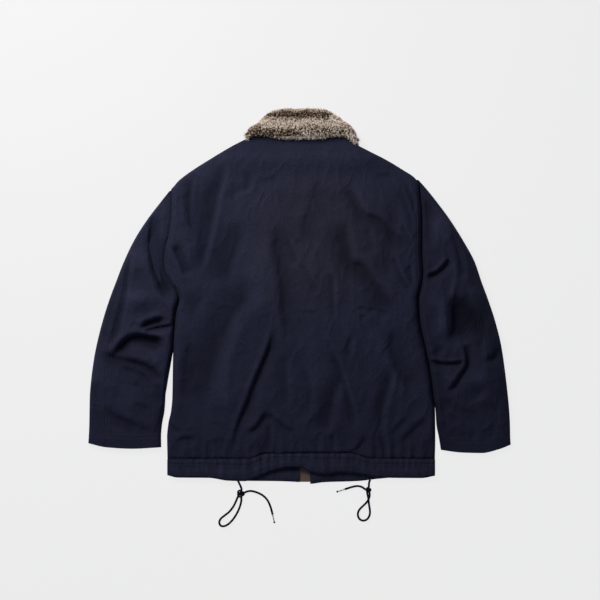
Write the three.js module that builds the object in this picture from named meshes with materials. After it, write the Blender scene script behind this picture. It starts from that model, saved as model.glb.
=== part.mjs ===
// Deck jacket laid flat on its front, back upwards, its fur collar turned down over the
// back neck. Millimetres: +X to the right, +Y towards the collar, +Z up. The origin is on
// the surface that the jacket lies on, under the middle of its outline.
import * as THREE from 'three';

// Cloth and the clearances between pieces
const CLOTH = 3; // wall of a panel: the shell cloth with its thick backing
const SEAM_GAP = 0.4; // between panels that meet side by side
const LAYER_GAP = 0.3; // between panels that lie on each other
const EDGE_ROLL = 12; // width over which a panel rounds down to its edge
const ROLL_STEPS = 3; // facets in that rounding
const LOW_EDGE = CLOTH + LAYER_GAP; // height of a back edge that lies on the front
const WALL_SHARE = 0.8; // most of a narrow rounding that the wall takes up

// Collar ends lie under the fronts at the neck and lift them
const NECK_LIFT = 9.3;
const LIFT_SIDE = { full: 140, none: 195 };
const LIFT_DOWN = { full: 292, none: 245 };

// Neck seam and shoulder line
const NECK = { left: [-80, 345], right: [80, 339], dip: 6, crown: 8.8 };

// Body sections, from the shoulders to the hem. rise is the height of an armhole edge
// over the front panel, crown the height of the back's upper face.
const BODY = [
  { y: 325, left: -120.5, right: 106, leftRise: 1.5, rightRise: 1.5, crown: 9.4 },
  { y: 305, left: -158, right: 143.5, leftRise: 1.5, rightRise: 1.5, crown: 11.5 },
  { y: 285, left: -192, right: 184, leftRise: 1.5, rightRise: 1.5, crown: 14.5 },
  { y: 262, left: -228, right: 222, leftRise: 0.9, rightRise: 0.9, crown: 17 },
  { y: 242, left: -254, right: 247, leftRise: 0.6, rightRise: 0.8, crown: 19 },
  { y: 232, left: -262.5, right: 250.8, leftRise: 0.6, rightRise: 1, crown: 20 },
  { y: 222, left: -270, right: 251.6, leftRise: 1, rightRise: 2, crown: 21 },
  { y: 210, left: -269, right: 252.6, leftRise: 5, rightRise: 2, crown: 21.5 },
  { y: 180, left: -268.7, right: 255.5, leftRise: 10, rightRise: 2, crown: 23 },
  { y: 142, left: -272, right: 257, leftRise: 13, rightRise: 2, crown: 24.5 },
  { y: 94, left: -282.5, right: 257, leftRise: 13, rightRise: 2, crown: 25 },
  { y: 72, left: -284.5, right: 258, leftRise: 13, rightRise: 2, crown: 25 },
  { y: 50, left: -281, right: 259, leftRise: 12, rightRise: 2, crown: 25 },
  { y: 30, left: -270, right: 257, leftRise: 10, rightRise: 2, crown: 25 },
  { y: 12, left: -258, right: 253, leftRise: 7, rightRise: 1, crown: 25 },
  { y: -6, left: -253, right: 250, leftRise: 3, rightRise: 0, crown: 25 },
  { y: -28, left: -259, right: 251, leftRise: 0, rightRise: 0, crown: 25 },
  { y: -52, left: -262, right: 252.8, leftRise: 0, rightRise: 0, crown: 25 },
  { y: -104, left: -265, right: 264, leftRise: 0, rightRise: 0, crown: 24 },
  { y: -156, left: -266, right: 274.3, leftRise: 0, rightRise: 0, crown: 23 },
  { y: -212, left: -267, right: 281, leftRise: 0, rightRise: 0, crown: 21 },
  { y: -240, left: -269.5, right: 284.4, leftRise: 0, rightRise: 0, crown: 19 },
  { y: -268, left: -275.5, right: 284.8, leftRise: 0, rightRise: 0, crown: 17 },
  { y: -296, left: -278, right: 285, leftRise: 0, rightRise: 0, crown: 14.5 },
  { y: -341, left: -277, right: 284, leftRise: 0, rightRise: 0, crown: 10 },
];
const BODY_HALF_CROWN = 3; // more height in the middle of the back than at its sides
const FULL_CROWN = 17; // height of the back from which its folds have their full depth
const SHOULDER_ROWS = [325, 305, 285, 262, 242];
const ARM_ROWS = [
  232, 222, 210, 196, 180, 162, 142, 118, 94, 72, 50, 30, 12, -6, -28, -52, -78, -104,
  -130, -156, -184, -212, -240, -268, -296,
];
const BACK_COLUMNS = 20; // between its two rounded edges
const FRONT_COLUMNS = 4; // from the right front's lap, and the like on the left, to the edge

// Sleeve sections. outer is the outline, seam the distance of the outer seam from it,
// apart the distance between the body's edge and the sleeve's inner edge.
const SLEEVE_LEFT = [
  { y: 210, outer: -281.5, seam: 3, crown: 12, apart: SEAM_GAP },
  { y: 196, outer: -292.5, seam: 6, crown: 14.5, apart: SEAM_GAP },
  { y: 162, outer: -318.5, seam: 7, crown: 18, apart: SEAM_GAP },
  { y: 118, outer: -346.5, seam: 8, crown: 22, apart: SEAM_GAP },
  { y: 72, outer: -368.5, seam: 10, crown: 25, apart: SEAM_GAP },
  { y: 30, outer: -385, seam: 18, crown: 26, apart: SEAM_GAP },
  { y: -6, outer: -398.5, seam: 25, crown: 27, apart: SEAM_GAP },
  { y: -52, outer: -413, seam: 26, crown: 28, apart: SEAM_GAP },
  { y: -104, outer: -426, seam: 27, crown: 27, apart: SEAM_GAP },
  { y: -130, outer: -431, seam: 28, crown: 26, apart: 2.5 },
  { y: -184, outer: -438, seam: 30, crown: 24, apart: 11 },
  { y: -212, outer: -440, seam: 32, crown: 21, apart: 14.5 },
  { y: -268, outer: -441, seam: 33, crown: 15, apart: 13 },
  { y: -312, outer: -443, seam: 34, crown: 9, apart: 12.5 },
];
const SLEEVE_RIGHT = [
  { y: 232, outer: 260.3, seam: 2.4, crown: 9, apart: SEAM_GAP },
  { y: 222, outer: 268.8, seam: 4.5, crown: 12, apart: SEAM_GAP },
  { y: 196, outer: 289.5, seam: 8, crown: 17, apart: SEAM_GAP },
  { y: 162, outer: 314.5, seam: 9, crown: 20, apart: SEAM_GAP },
  { y: 118, outer: 342.5, seam: 11, crown: 23, apart: SEAM_GAP },
  { y: 72, outer: 367.5, seam: 16, crown: 25, apart: SEAM_GAP },
  { y: 30, outer: 382, seam: 22, crown: 26, apart: SEAM_GAP },
  { y: -6, outer: 395.3, seam: 26, crown: 27, apart: SEAM_GAP },
  { y: -52, outer: 410.5, seam: 30, crown: 27, apart: SEAM_GAP },
  { y: -104, outer: 423.3, seam: 34, crown: 27, apart: SEAM_GAP },
  { y: -156, outer: 431, seam: 36, crown: 25, apart: SEAM_GAP },
  { y: -212, outer: 437.5, seam: 31, crown: 21, apart: SEAM_GAP },
  { y: -240, outer: 440, seam: 29, crown: 18, apart: 1 },
  { y: -268, outer: 441.5, seam: 28, crown: 15, apart: 2.5 },
  { y: -296, outer: 442, seam: 28, crown: 11, apart: 7.5 },
  { y: -318, outer: 443, seam: 28, crown: 9, apart: 12 },
];
const UNDER_COLUMNS = 7; // in a sleeve's upper face, between its rounded edges
const TURN_STEPS = 2; // facets where a sleeve turns under at its outline
const LOW_TURN = 5; // height of a sleeve's widest line
const FLOOR_COLUMNS = 3; // in the part of a sleeve that lies on the surface
const SEAM_SHARE = 0.8; // the outer seam lies at this share of the outer rounding
const INNER_ROLL_SHARE = 0.5; // most of a narrow sleeve that its inner rounding takes up
const CUFF_LEFT = [
  { across: 0, y: -307.5 },
  { across: 0.25, y: -315 },
  { across: 0.6, y: -318 },
  { across: 1, y: -315 },
];
const CUFF_RIGHT = [
  { across: 0, y: -308 },
  { across: 0.16, y: -317 },
  { across: 0.42, y: -327.5 },
  { across: 0.7, y: -325.5 },
  { across: 1, y: -320 },
];

// Largest folds of the cloth: a soft trough, or a ridge where height is over 0, along a
// bent line through three points
const BACK_FOLDS = [
  { start: [-166, 283], through: [-177, 190], end: [-212, 45], width: 12, height: -6 },
  { start: [-104, 253], through: [-134, 140], end: [-160, 12], width: 17, height: -3.5 },
  { start: [-106, 8], through: [-160, -76], end: [-218, -175], width: 20, height: -5 },
  { start: [-44, 152], through: [-37, 50], end: [-24, -105], width: 14, height: -3.5 },
  { start: [-56, 140], through: [-72, 40], end: [-64, -80], width: 24, height: 3.5 },
  { start: [-58, -98], through: [-98, -205], end: [-138, -322], width: 13, height: -6.5 },
  { start: [97, 145], through: [148, 36], end: [186, -16], width: 15, height: -5 },
  { start: [194, -40], through: [198, -100], end: [221, -168], width: 14, height: -4 },
  { start: [110, 215], through: [160, 163], end: [232, 94], width: 13, height: -4 },
  { start: [80, -150], through: [66, -225], end: [46, -295], width: 16, height: -5 },
  { start: [193, -150], through: [181, -235], end: [174, -318], width: 13, height: -4 },
  { start: [274, -256], through: [238, -285], end: [208, -304], width: 13, height: -3.5 },
  { start: [-262, -262], through: [-238, -290], end: [-205, -302], width: 13, height: -3 },
];
const LEFT_FOLDS = [
  { start: [-302, 158], through: [-305, 70], end: [-272, -8], width: 12, height: -8 },
  { start: [-324, -64], through: [-304, -50], end: [-268, -58], width: 12, height: -6 },
  { start: [-380, -116], through: [-345, -84], end: [-282, -104], width: 13, height: -7 },
  { start: [-417, -117], through: [-350, -142], end: [-302, -168], width: 13, height: -4 },
  { start: [-398, -246], through: [-360, -274], end: [-312, -278], width: 13, height: -3 },
];
const RIGHT_FOLDS = [
  { start: [268, 44], through: [298, 57], end: [317, 78], width: 12, height: -6 },
  { start: [316, 142], through: [333, 88], end: [343, 36], width: 12, height: -4 },
  { start: [318, -12], through: [319, -70], end: [302, -124], width: 13, height: -7 },
  { start: [372, -14], through: [360, -50], end: [350, -80], width: 26, height: -4 },
  { start: [276, -131], through: [308, -137], end: [342, -137], width: 12, height: -5 },
  { start: [342, -100], through: [348, -150], end: [315, -192], width: 12, height: -6 },
  { start: [296, -220], through: [318, -238], end: [348, -257], width: 13, height: -3.5 },
];
const FOLD_PIECES = 8; // straight pieces that stand for a fold's bent line

// Hem casings: a folded band that holds the drawcord
const HEM_SEAM = [
  { x: -277, y: -341 },
  { x: -114, y: -341 },
  { x: -66, y: -330 },
  { x: 40, y: -329 },
  { x: 105, y: -329 },
  { x: 150, y: -340 },
  { x: 284, y: -341 },
];
const HEM_EDGE = [
  { x: -277, y: -375 },
  { x: -255, y: -380 },
  { x: -190, y: -382 },
  { x: -150, y: -387 },
  { x: -115, y: -387.5 },
  { x: -92, y: -380 },
  { x: -58, y: -366 },
  { x: -20, y: -358 },
  { x: 3, y: -359 },
  { x: 25, y: -368.5 },
  { x: 50, y: -372.5 },
  { x: 86, y: -368.5 },
  { x: 138, y: -374.5 },
  { x: 165, y: -380 },
  { x: 255, y: -381 },
  { x: 284, y: -376 },
];
const FRONT_EDGE = [
  { x: -277, y: -373 },
  { x: -190, y: -379 },
  { x: -150, y: -385 },
  { x: -120, y: -388 },
  { x: -50, y: -388.5 },
  { x: -0.4, y: -390 },
  { x: 22.5, y: -394.5 },
  { x: 50, y: -391.5 },
  { x: 120, y: -388.5 },
  { x: 165, y: -383 },
  { x: 210, y: -379 },
  { x: 284, y: -374 },
];
const FRONT_SEAM_Y = -346; // seam of the front hem casings
const BACK_CASING = 6.5; // its thickness, folded double round the drawcord
const FRONT_CASING = 4.5;
// Its section: across from the seam to the free edge, up in shares of its thickness
const CASING_SECTION = [
  { across: 0, up: 0.14 },
  { across: 0, up: 0.8 },
  { across: 0.12, up: 1 },
  { across: 0.55, up: 1.06 },
  { across: 0.88, up: 0.95 },
  { across: 0.97, up: 0.66 },
  { across: 1, up: 0.46 },
  { across: 0.97, up: 0.12 },
  { across: 0.88, up: 0 },
  { across: 0.05, up: 0 },
];
const HEM_RISE = 2.6; // the middle of the back's hem stands up over the fronts' overlap
const HEM_RISE_SPAN = { left: [-90, -20], right: [90, 150] };
const FRONT_STATIONS = 14;

// Front opening: a woven tape lies between the fronts, under the right one
const OPENING = { leftEdge: -0.4, rightEdge: 22.5 };
const TAPE = { left: 0, right: 34, thick: 1.5, hem: -388.5, neckInset: 8 };
const LAP = { height: TAPE.thick + LAYER_GAP, full: 42, none: 64 };

// Collar sections, from one side of the neck to the other. top is its fold, edge the
// free edge on the back, reach how far its front ends lie under the fronts.
const COLLAR = [
  { x: -118, top: 337, edge: 329, height: 25, reach: 323 },
  { x: -113, top: 344, edge: 329, height: 31, reach: 317 },
  { x: -102, top: 353, edge: 331, height: 36, reach: 310 },
  { x: -88, top: 363, edge: 335, height: 38, reach: 304 },
  { x: -74, top: 376, edge: 335, height: 39, reach: 300 },
  { x: -60, top: 387.5, edge: 331, height: 40, reach: 298 },
  { x: -40, top: 393, edge: 328, height: 41, reach: 297 },
  { x: -18, top: 394.5, edge: 328, height: 41, reach: 299 },
  { x: -6, top: 393, edge: 328, height: 41, reach: 325 },
  { x: 30, top: 394.5, edge: 327.5, height: 41, reach: 325 },
  { x: 42, top: 393.5, edge: 328, height: 41, reach: 299 },
  { x: 60, top: 389, edge: 331, height: 40, reach: 298 },
  { x: 75, top: 380, edge: 333, height: 39, reach: 300 },
  { x: 90, top: 369, edge: 333, height: 38, reach: 303 },
  { x: 103, top: 359, edge: 326, height: 35, reach: 306 },
  { x: 113, top: 347, edge: 321, height: 30, reach: 309 },
  { x: 121, top: 331, edge: 318, height: 24, reach: 312 },
];
const COLLAR_STATIONS = 27;
const NECK_CLEARANCE = 2; // from the panels' edges to the bottom of the collar's mouth
const LEAST_FALL = 6; // height of the fur over the mouth at the collar's ends
// The upper face from the free edge to the crest, up in shares of the fur over the mouth
const COLLAR_FALL = [
  { across: 0, up: 0.25 },
  { across: 0.02, up: 0.6 },
  { across: 0.12, up: 0.92 },
  { across: 0.35, up: 1 },
];
// From the crest over the fold line to the underside, up in shares of the whole height
const COLLAR_FOLD = [
  { across: 0.62, up: 0.975 },
  { across: 0.82, up: 0.88 },
  { across: 0.95, up: 0.66 },
  { across: 1, up: 0.4 },
  { across: 0.95, up: 0.12 },
  { across: 0.85, up: 0 },
];
const COLLAR_LIP = 1.5; // rounding of the edges at the collar's mouth
const COLLAR_FOOT = 3; // rounding where the collar's front end leaves the surface

// Drawcords
const CORD = { radius: 2.2, sides: 8, lie: 2.3, step: 10 };
const KNOT_LEFT = { at: [-124, -416.3], radius: 8, height: 10 };
const KNOT_RIGHT = { at: [144, -408.3], radius: 6.4, height: 9.2 };
const TIP = { length: 13, radius: 1.3, mouth: 2, lip: 1.5, neck: 3, bead: 2.3 };

// Routes over the surface. z is given where a cord crosses over another; elsewhere it
// lies on the surface.
const LEFT_LEAD = [
  { x: -131, y: -388.6 }, { x: -129.4, y: -394 }, { x: -125, y: -401 },
  { x: -122.4, y: -407.95 },
];
const LEFT_LOOP = [
  { x: -129.3, y: -422.9 }, { x: -133.6, y: -433 }, { x: -139.5, y: -444.5 },
  { x: -148, y: -455 }, { x: -157.5, y: -462.5 }, { x: -165.5, y: -469.5 },
  { x: -168.4, y: -477 }, { x: -165.5, y: -483.5 }, { x: -158.5, y: -484.8 },
  { x: -149.5, y: -480.5 }, { x: -140, y: -471 }, { x: -132, y: -459 },
  { x: -126, y: -446 }, { x: -122.6, y: -434 }, { x: -122, y: -424.55 },
];
const LEFT_TAIL = [
  { x: -115.8, y: -414.6 }, { x: -109.5, y: -411.9 }, { x: -102, y: -411 },
  { x: -93.5, y: -412.6 }, { x: -83, y: -416.8 }, { x: -73.5, y: -423.2 },
  { x: -66, y: -432.5 }, { x: -60.8, y: -444.5 }, { x: -57.6, y: -456 },
  { x: -56.4, y: -461 },
];
const RIGHT_LEAD = [
  { x: 148.6, y: -386.4 }, { x: 146.6, y: -391 }, { x: 145.6, y: -396.5 },
  { x: 145.5, y: -401.65 },
];
const RIGHT_LOOP = [
  { x: 141.1, y: -414.8 }, { x: 142.2, y: -420 }, { x: 144, y: -427 },
  { x: 145.3, y: -435 }, { x: 146.6, y: -444 }, { x: 147.8, y: -453 },
  { x: 147, y: -461.5 }, { x: 143.2, y: -468.6 }, { x: 137, y: -472.5 },
  { x: 130.2, y: -472.2 }, { x: 124.6, y: -467.7 }, { x: 122.4, y: -460 },
  { x: 124.2, y: -452.4 }, { x: 129.2, y: -446, z: 2.4 }, { x: 135, y: -440.4, z: 3.2 },
  { x: 140.2, y: -434.8, z: 5.2 }, { x: 144.2, y: -428.6, z: 7.1 },
  { x: 146.7, y: -422.4, z: 5.6 }, { x: 147.5, y: -418.4, z: 3 }, { x: 147.4, y: -414.9 },
];
const RIGHT_TAIL = [
  { x: 137.4, y: -406.9 }, { x: 132.4, y: -403.2 }, { x: 126.5, y: -401 },
  { x: 119.5, y: -400.5 }, { x: 111.5, y: -402 }, { x: 103, y: -404.5 },
  { x: 94.6, y: -407.2 },
];

const finish = (name, color, roughness, metalness) => new THREE.MeshStandardMaterial(
  { name, color, roughness, metalness },
);
const navyCloth = finish('navy jungle cloth', '#242735', 0.85, 0);
const furPile = finish('mottled fur pile', '#97836d', 0.95, 0);
const wovenTape = finish('brown woven tape', '#50443a', 0.8, 0);
const braid = finish('black braided cord', '#14151c', 0.8, 0);
const nickel = finish('bright nickel', '#b8b8b4', 0.3, 1);
const lacquer = finish('dark lacquered metal', '#26262c', 0.4, 0.6);

const mix = (from, to, share) => from + (to - from) * share;
const smooth = (from, to, value) => THREE.MathUtils.smoothstep(value, from, to);

// Smooth curve through one column of a table, against another of its columns
function columnOf(table, along, name) {
  const rows = [...table].sort((a, b) => a[along] - b[along]);
  const at = rows.map((row) => row[along]);
  const value = rows.map((row) => row[name]);
  const last = rows.length - 1;
  const slope = at.slice(1).map((end, i) => (value[i + 1] - value[i]) / (end - at[i]));
  const tangent = value.map((_, i) => {
    if (i === 0) return slope[0];
    if (i === last) return slope[last - 1];
    const [before, after] = [slope[i - 1], slope[i]];
    return before * after <= 0 ? 0 : (2 * before * after) / (before + after);
  });
  return (where) => {
    const inside = THREE.MathUtils.clamp(where, at[0], at[last]);
    let i = 0;
    while (i < last - 1 && inside > at[i + 1]) i += 1;
    const span = at[i + 1] - at[i];
    const t = (inside - at[i]) / span;
    const ease = t * t * (3 - 2 * t);
    const leave = t * (1 - t) * (1 - t) * span * tangent[i];
    const arrive = t * t * (t - 1) * span * tangent[i + 1];
    return mix(value[i], value[i + 1], ease) + leave + arrive;
  };
}

const column = (table, name) => columnOf(table, 'y', name);
const hemSeamY = columnOf(HEM_SEAM, 'x', 'y');
const hemEdgeY = columnOf(HEM_EDGE, 'x', 'y');
const frontEdgeY = columnOf(FRONT_EDGE, 'x', 'y');

// Neck seam between the two neck points, straight shoulder line outside them
function neckSeamY(x) {
  const share = (x - NECK.left[0]) / (NECK.right[0] - NECK.left[0]);
  const bow = NECK.dip * 4 * share * (1 - share);
  return mix(NECK.left[1], NECK.right[1], share) - bow;
}

function shoulderY(x) {
  const side = x < 0 ? 'left' : 'right';
  const [pointX, pointY] = NECK[side];
  const low = BODY[0];
  return mix(pointY, low.y, (x - pointX) / (low[side] - pointX));
}

const panelTopY = (x) => (
  x > NECK.left[0] && x < NECK.right[0] ? neckSeamY(x) : shoulderY(x)
);

function neckLift(x, y) {
  const across = 1 - smooth(LIFT_SIDE.full, LIFT_SIDE.none, Math.abs(x));
  return NECK_LIFT * across * smooth(LIFT_DOWN.none, LIFT_DOWN.full, y);
}

function hemRise(x) {
  const up = smooth(...HEM_RISE_SPAN.left, x);
  return HEM_RISE * up * (1 - smooth(...HEM_RISE_SPAN.right, x));
}

// Height that a set of folds adds at a point of the cloth
function foldField(folds) {
  const lines = folds.map((fold) => {
    const [start, through, end] = [fold.start, fold.through, fold.end]
      .map(([x, y]) => new THREE.Vector2(x, y));
    const pull = through.clone().multiplyScalar(2).sub(start.clone().add(end).multiplyScalar(0.5));
    return new THREE.QuadraticBezierCurve(start, pull, end).getPoints(FOLD_PIECES);
  });
  return (x, y) => folds.reduce((sum, fold, f) => {
    let nearest = Infinity;
    for (let i = 0; i < FOLD_PIECES; i += 1) {
      const [a, b] = [lines[f][i], lines[f][i + 1]];
      const [dx, dy] = [b.x - a.x, b.y - a.y];
      const along = ((x - a.x) * dx + (y - a.y) * dy) / (dx * dx + dy * dy);
      const t = THREE.MathUtils.clamp(along, 0, 1);
      nearest = Math.min(nearest, Math.hypot(x - a.x - t * dx, y - a.y - t * dy));
    }
    return sum + fold.height * Math.exp(-((nearest / fold.width) ** 2));
  }, 0);
}

// Closed solid from its corner points and faces of three or four corners
function solidOf(name, material, points, faces) {
  const triangles = [];
  for (const [a, b, c, d] of faces) {
    triangles.push([a, b, c]);
    if (d !== undefined) triangles.push([a, c, d]);
  }
  const volume = triangles.reduce((sum, [a, b, c]) => (
    sum + points[a].dot(new THREE.Vector3().crossVectors(points[b], points[c]))
  ), 0);
  const turned = volume < 0 ? triangles.map(([a, b, c]) => [a, c, b]) : triangles;
  const geometry = new THREE.BufferGeometry();
  geometry.setFromPoints(points);
  geometry.setIndex(turned.flat());
  geometry.computeVertexNormals();
  const mesh = new THREE.Mesh(geometry, material);
  mesh.name = name;
  return mesh;
}

// Wall between an outer and an inner sheet of points, closed along its four edges
function wall(name, material, rows) {
  const height = rows.length;
  const width = rows[0].outer.length;
  const points = [...rows.flatMap((row) => row.outer), ...rows.flatMap((row) => row.inner)];
  const outer = (r, c) => r * width + c;
  const inner = (r, c) => height * width + r * width + c;
  const faces = [];
  for (let r = 0; r < height - 1; r += 1) {
    for (let c = 0; c < width - 1; c += 1) {
      faces.push([outer(r, c), outer(r + 1, c), outer(r + 1, c + 1), outer(r, c + 1)]);
      faces.push([inner(r, c + 1), inner(r + 1, c + 1), inner(r + 1, c), inner(r, c)]);
    }
    faces.push([inner(r, 0), inner(r + 1, 0), outer(r + 1, 0), outer(r, 0)]);
    const side = width - 1;
    faces.push([outer(r, side), outer(r + 1, side), inner(r + 1, side), inner(r, side)]);
  }
  for (let c = 0; c < width - 1; c += 1) {
    faces.push([inner(0, c), outer(0, c), outer(0, c + 1), inner(0, c + 1)]);
    const low = height - 1;
    faces.push([outer(low, c), inner(low, c), inner(low, c + 1), outer(low, c + 1)]);
  }
  return solidOf(name, material, points, faces);
}

// Solid through closed sections that lie in planes of constant x
function bandAlongX(name, material, given) {
  const flat = (section) => section.map((point) => new THREE.Vector2(point.y, point.z));
  const clockwise = THREE.ShapeUtils.isClockWise(flat(given[0]));
  const sections = clockwise ? given.map((section) => [...section].reverse()) : given;
  const corners = sections[0].length;
  const points = sections.flat();
  const faces = [];
  for (let s = 0; s < sections.length - 1; s += 1) {
    for (let c = 0; c < corners; c += 1) {
      const next = (c + 1) % corners;
      const [here, there] = [s * corners, (s + 1) * corners];
      faces.push([here + c, here + next, there + next, there + c]);
    }
  }
  const end = (sections.length - 1) * corners;
  for (const [a, b, c] of THREE.ShapeUtils.triangulateShape(flat(sections[0]), [])) {
    faces.push([a, c, b]);
  }
  for (const [a, b, c] of THREE.ShapeUtils.triangulateShape(flat(sections.at(-1)), [])) {
    faces.push([end + a, end + b, end + c]);
  }
  return solidOf(name, material, points, faces);
}

// One section of a raised panel, from its edge at x0 to its edge at x1. Each end rounds
// down over roll to the height of its edge; the first rounding starts at angle0 and has
// steps0 facets.
function panelSection(
  { x0, x1, edge0, edge1, roll0, roll1, angle0 = 0, steps0 = ROLL_STEPS, columns, rowY, top },
) {
  const toward = Math.sign(x1 - x0);
  const outer = [];
  const inner = [];
  const place = (x, z, xInner, zInner) => {
    outer.push(new THREE.Vector3(x, rowY(x), z));
    inner.push(new THREE.Vector3(xInner, rowY(x), zInner));
  };
  const round = (edgeX, way, roll, edge, angle) => {
    const level = top(edgeX + way * roll);
    const away = 1 - Math.cos(angle);
    const wallIn = Math.min(CLOTH, roll * WALL_SHARE);
    place(
      edgeX + way * roll * away,
      mix(edge, level, Math.sin(angle)),
      edgeX + way * mix(wallIn, roll, away),
      mix(edge, Math.max(level - CLOTH, edge), Math.sin(angle)),
    );
  };
  for (let i = 0; i <= steps0; i += 1) {
    round(x0, toward, roll0, edge0, mix(angle0, Math.PI / 2, i / steps0));
  }
  for (let i = 1; i < columns; i += 1) {
    const x = mix(x0 + toward * roll0, x1 - toward * roll1, i / columns);
    place(x, top(x), x, top(x) - CLOTH);
  }
  for (let i = ROLL_STEPS; i >= 0; i -= 1) {
    round(x1, -toward, roll1, edge1, (Math.PI / 2) * (i / ROLL_STEPS));
  }
  return { outer, inner };
}

const bodyLeft = column(BODY, 'left');
const bodyRight = column(BODY, 'right');
const bodyCrown = column(BODY, 'crown');
const leftRise = column(BODY, 'leftRise');
const rightRise = column(BODY, 'rightRise');
const backFolds = foldField(BACK_FOLDS);

function backSection(y, rowY, x0, x1, crown) {
  const top = (x) => {
    const at = rowY(x);
    const across = Math.sin(Math.PI * ((x - x0) / (x1 - x0)));
    const full = smooth(NECK.crown, FULL_CROWN, crown);
    const hem = y < BODY.at(-2).y ? hemRise(x) : 0;
    const shape = full * (BODY_HALF_CROWN * across + backFolds(x, at));
    return crown + shape + hem + neckLift(x, at);
  };
  return panelSection({
    x0,
    x1,
    edge0: LOW_EDGE + leftRise(y) + neckLift(x0, rowY(x0)),
    edge1: LOW_EDGE + rightRise(y) + neckLift(x1, rowY(x1)),
    roll0: EDGE_ROLL,
    roll1: EDGE_ROLL,
    columns: BACK_COLUMNS,
    rowY,
    top,
  });
}

function hemRow() {
  const low = BODY.at(-1);
  return backSection(low.y, (x) => hemSeamY(x) + SEAM_GAP, low.left, low.right, low.crown);
}

function makeBack() {
  const bodyRows = [...SHOULDER_ROWS, ...ARM_ROWS].map((y) => (
    backSection(y, () => y, bodyLeft(y), bodyRight(y), bodyCrown(y))
  ));
  return wall('back', navyCloth, [
    backSection(NECK.left[1], neckSeamY, NECK.left[0], NECK.right[0], NECK.crown),
    ...bodyRows,
    hemRow(),
  ]);
}

const lapLift = (x) => LAP.height * (1 - smooth(LAP.full, LAP.none, x));

// A front panel lies flat, from the body's edge to the front opening
function makeFront(side) {
  const opening = OPENING[`${side}Edge`];
  const outward = side === 'left' ? -1 : 1;
  const edgeX = column(BODY, side);
  const level = (x, y) => neckLift(x, y) + (side === 'right' ? lapLift(x) : 0);
  const section = (rowY, outerX) => {
    const outer = [];
    const inner = [];
    const across = [opening, outward * LAP.full, outward * LAP.none];
    for (let i = 1; i <= FRONT_COLUMNS; i += 1) {
      across.push(mix(outward * LAP.none, outerX, i / FRONT_COLUMNS));
    }
    for (const x of across) {
      const y = rowY(x);
      outer.push(new THREE.Vector3(x, y, level(x, y) + CLOTH));
      inner.push(new THREE.Vector3(x, y, level(x, y)));
    }
    return { outer, inner };
  };
  const bodyRows = [...SHOULDER_ROWS, ...ARM_ROWS].map((y) => section(() => y, edgeX(y)));
  return wall(`front_${side}`, navyCloth, [
    section(neckSeamY, NECK[side][0]),
    ...bodyRows,
    section(() => FRONT_SEAM_Y + SEAM_GAP, BODY.at(-1)[side]),
  ]);
}

function makeTape() {
  const section = (y) => {
    const corner = (x, z) => new THREE.Vector3(x, y, neckLift(x, y) + z);
    return {
      outer: [corner(TAPE.left, TAPE.thick), corner(TAPE.right, TAPE.thick)],
      inner: [corner(TAPE.left, 0), corner(TAPE.right, 0)],
    };
  };
  const neck = neckSeamY(TAPE.right) - TAPE.neckInset;
  const rows = [neck, ...[...SHOULDER_ROWS, ...ARM_ROWS].filter((y) => y < neck), TAPE.hem];
  return wall('front_tape', wovenTape, rows.map(section));
}

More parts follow.
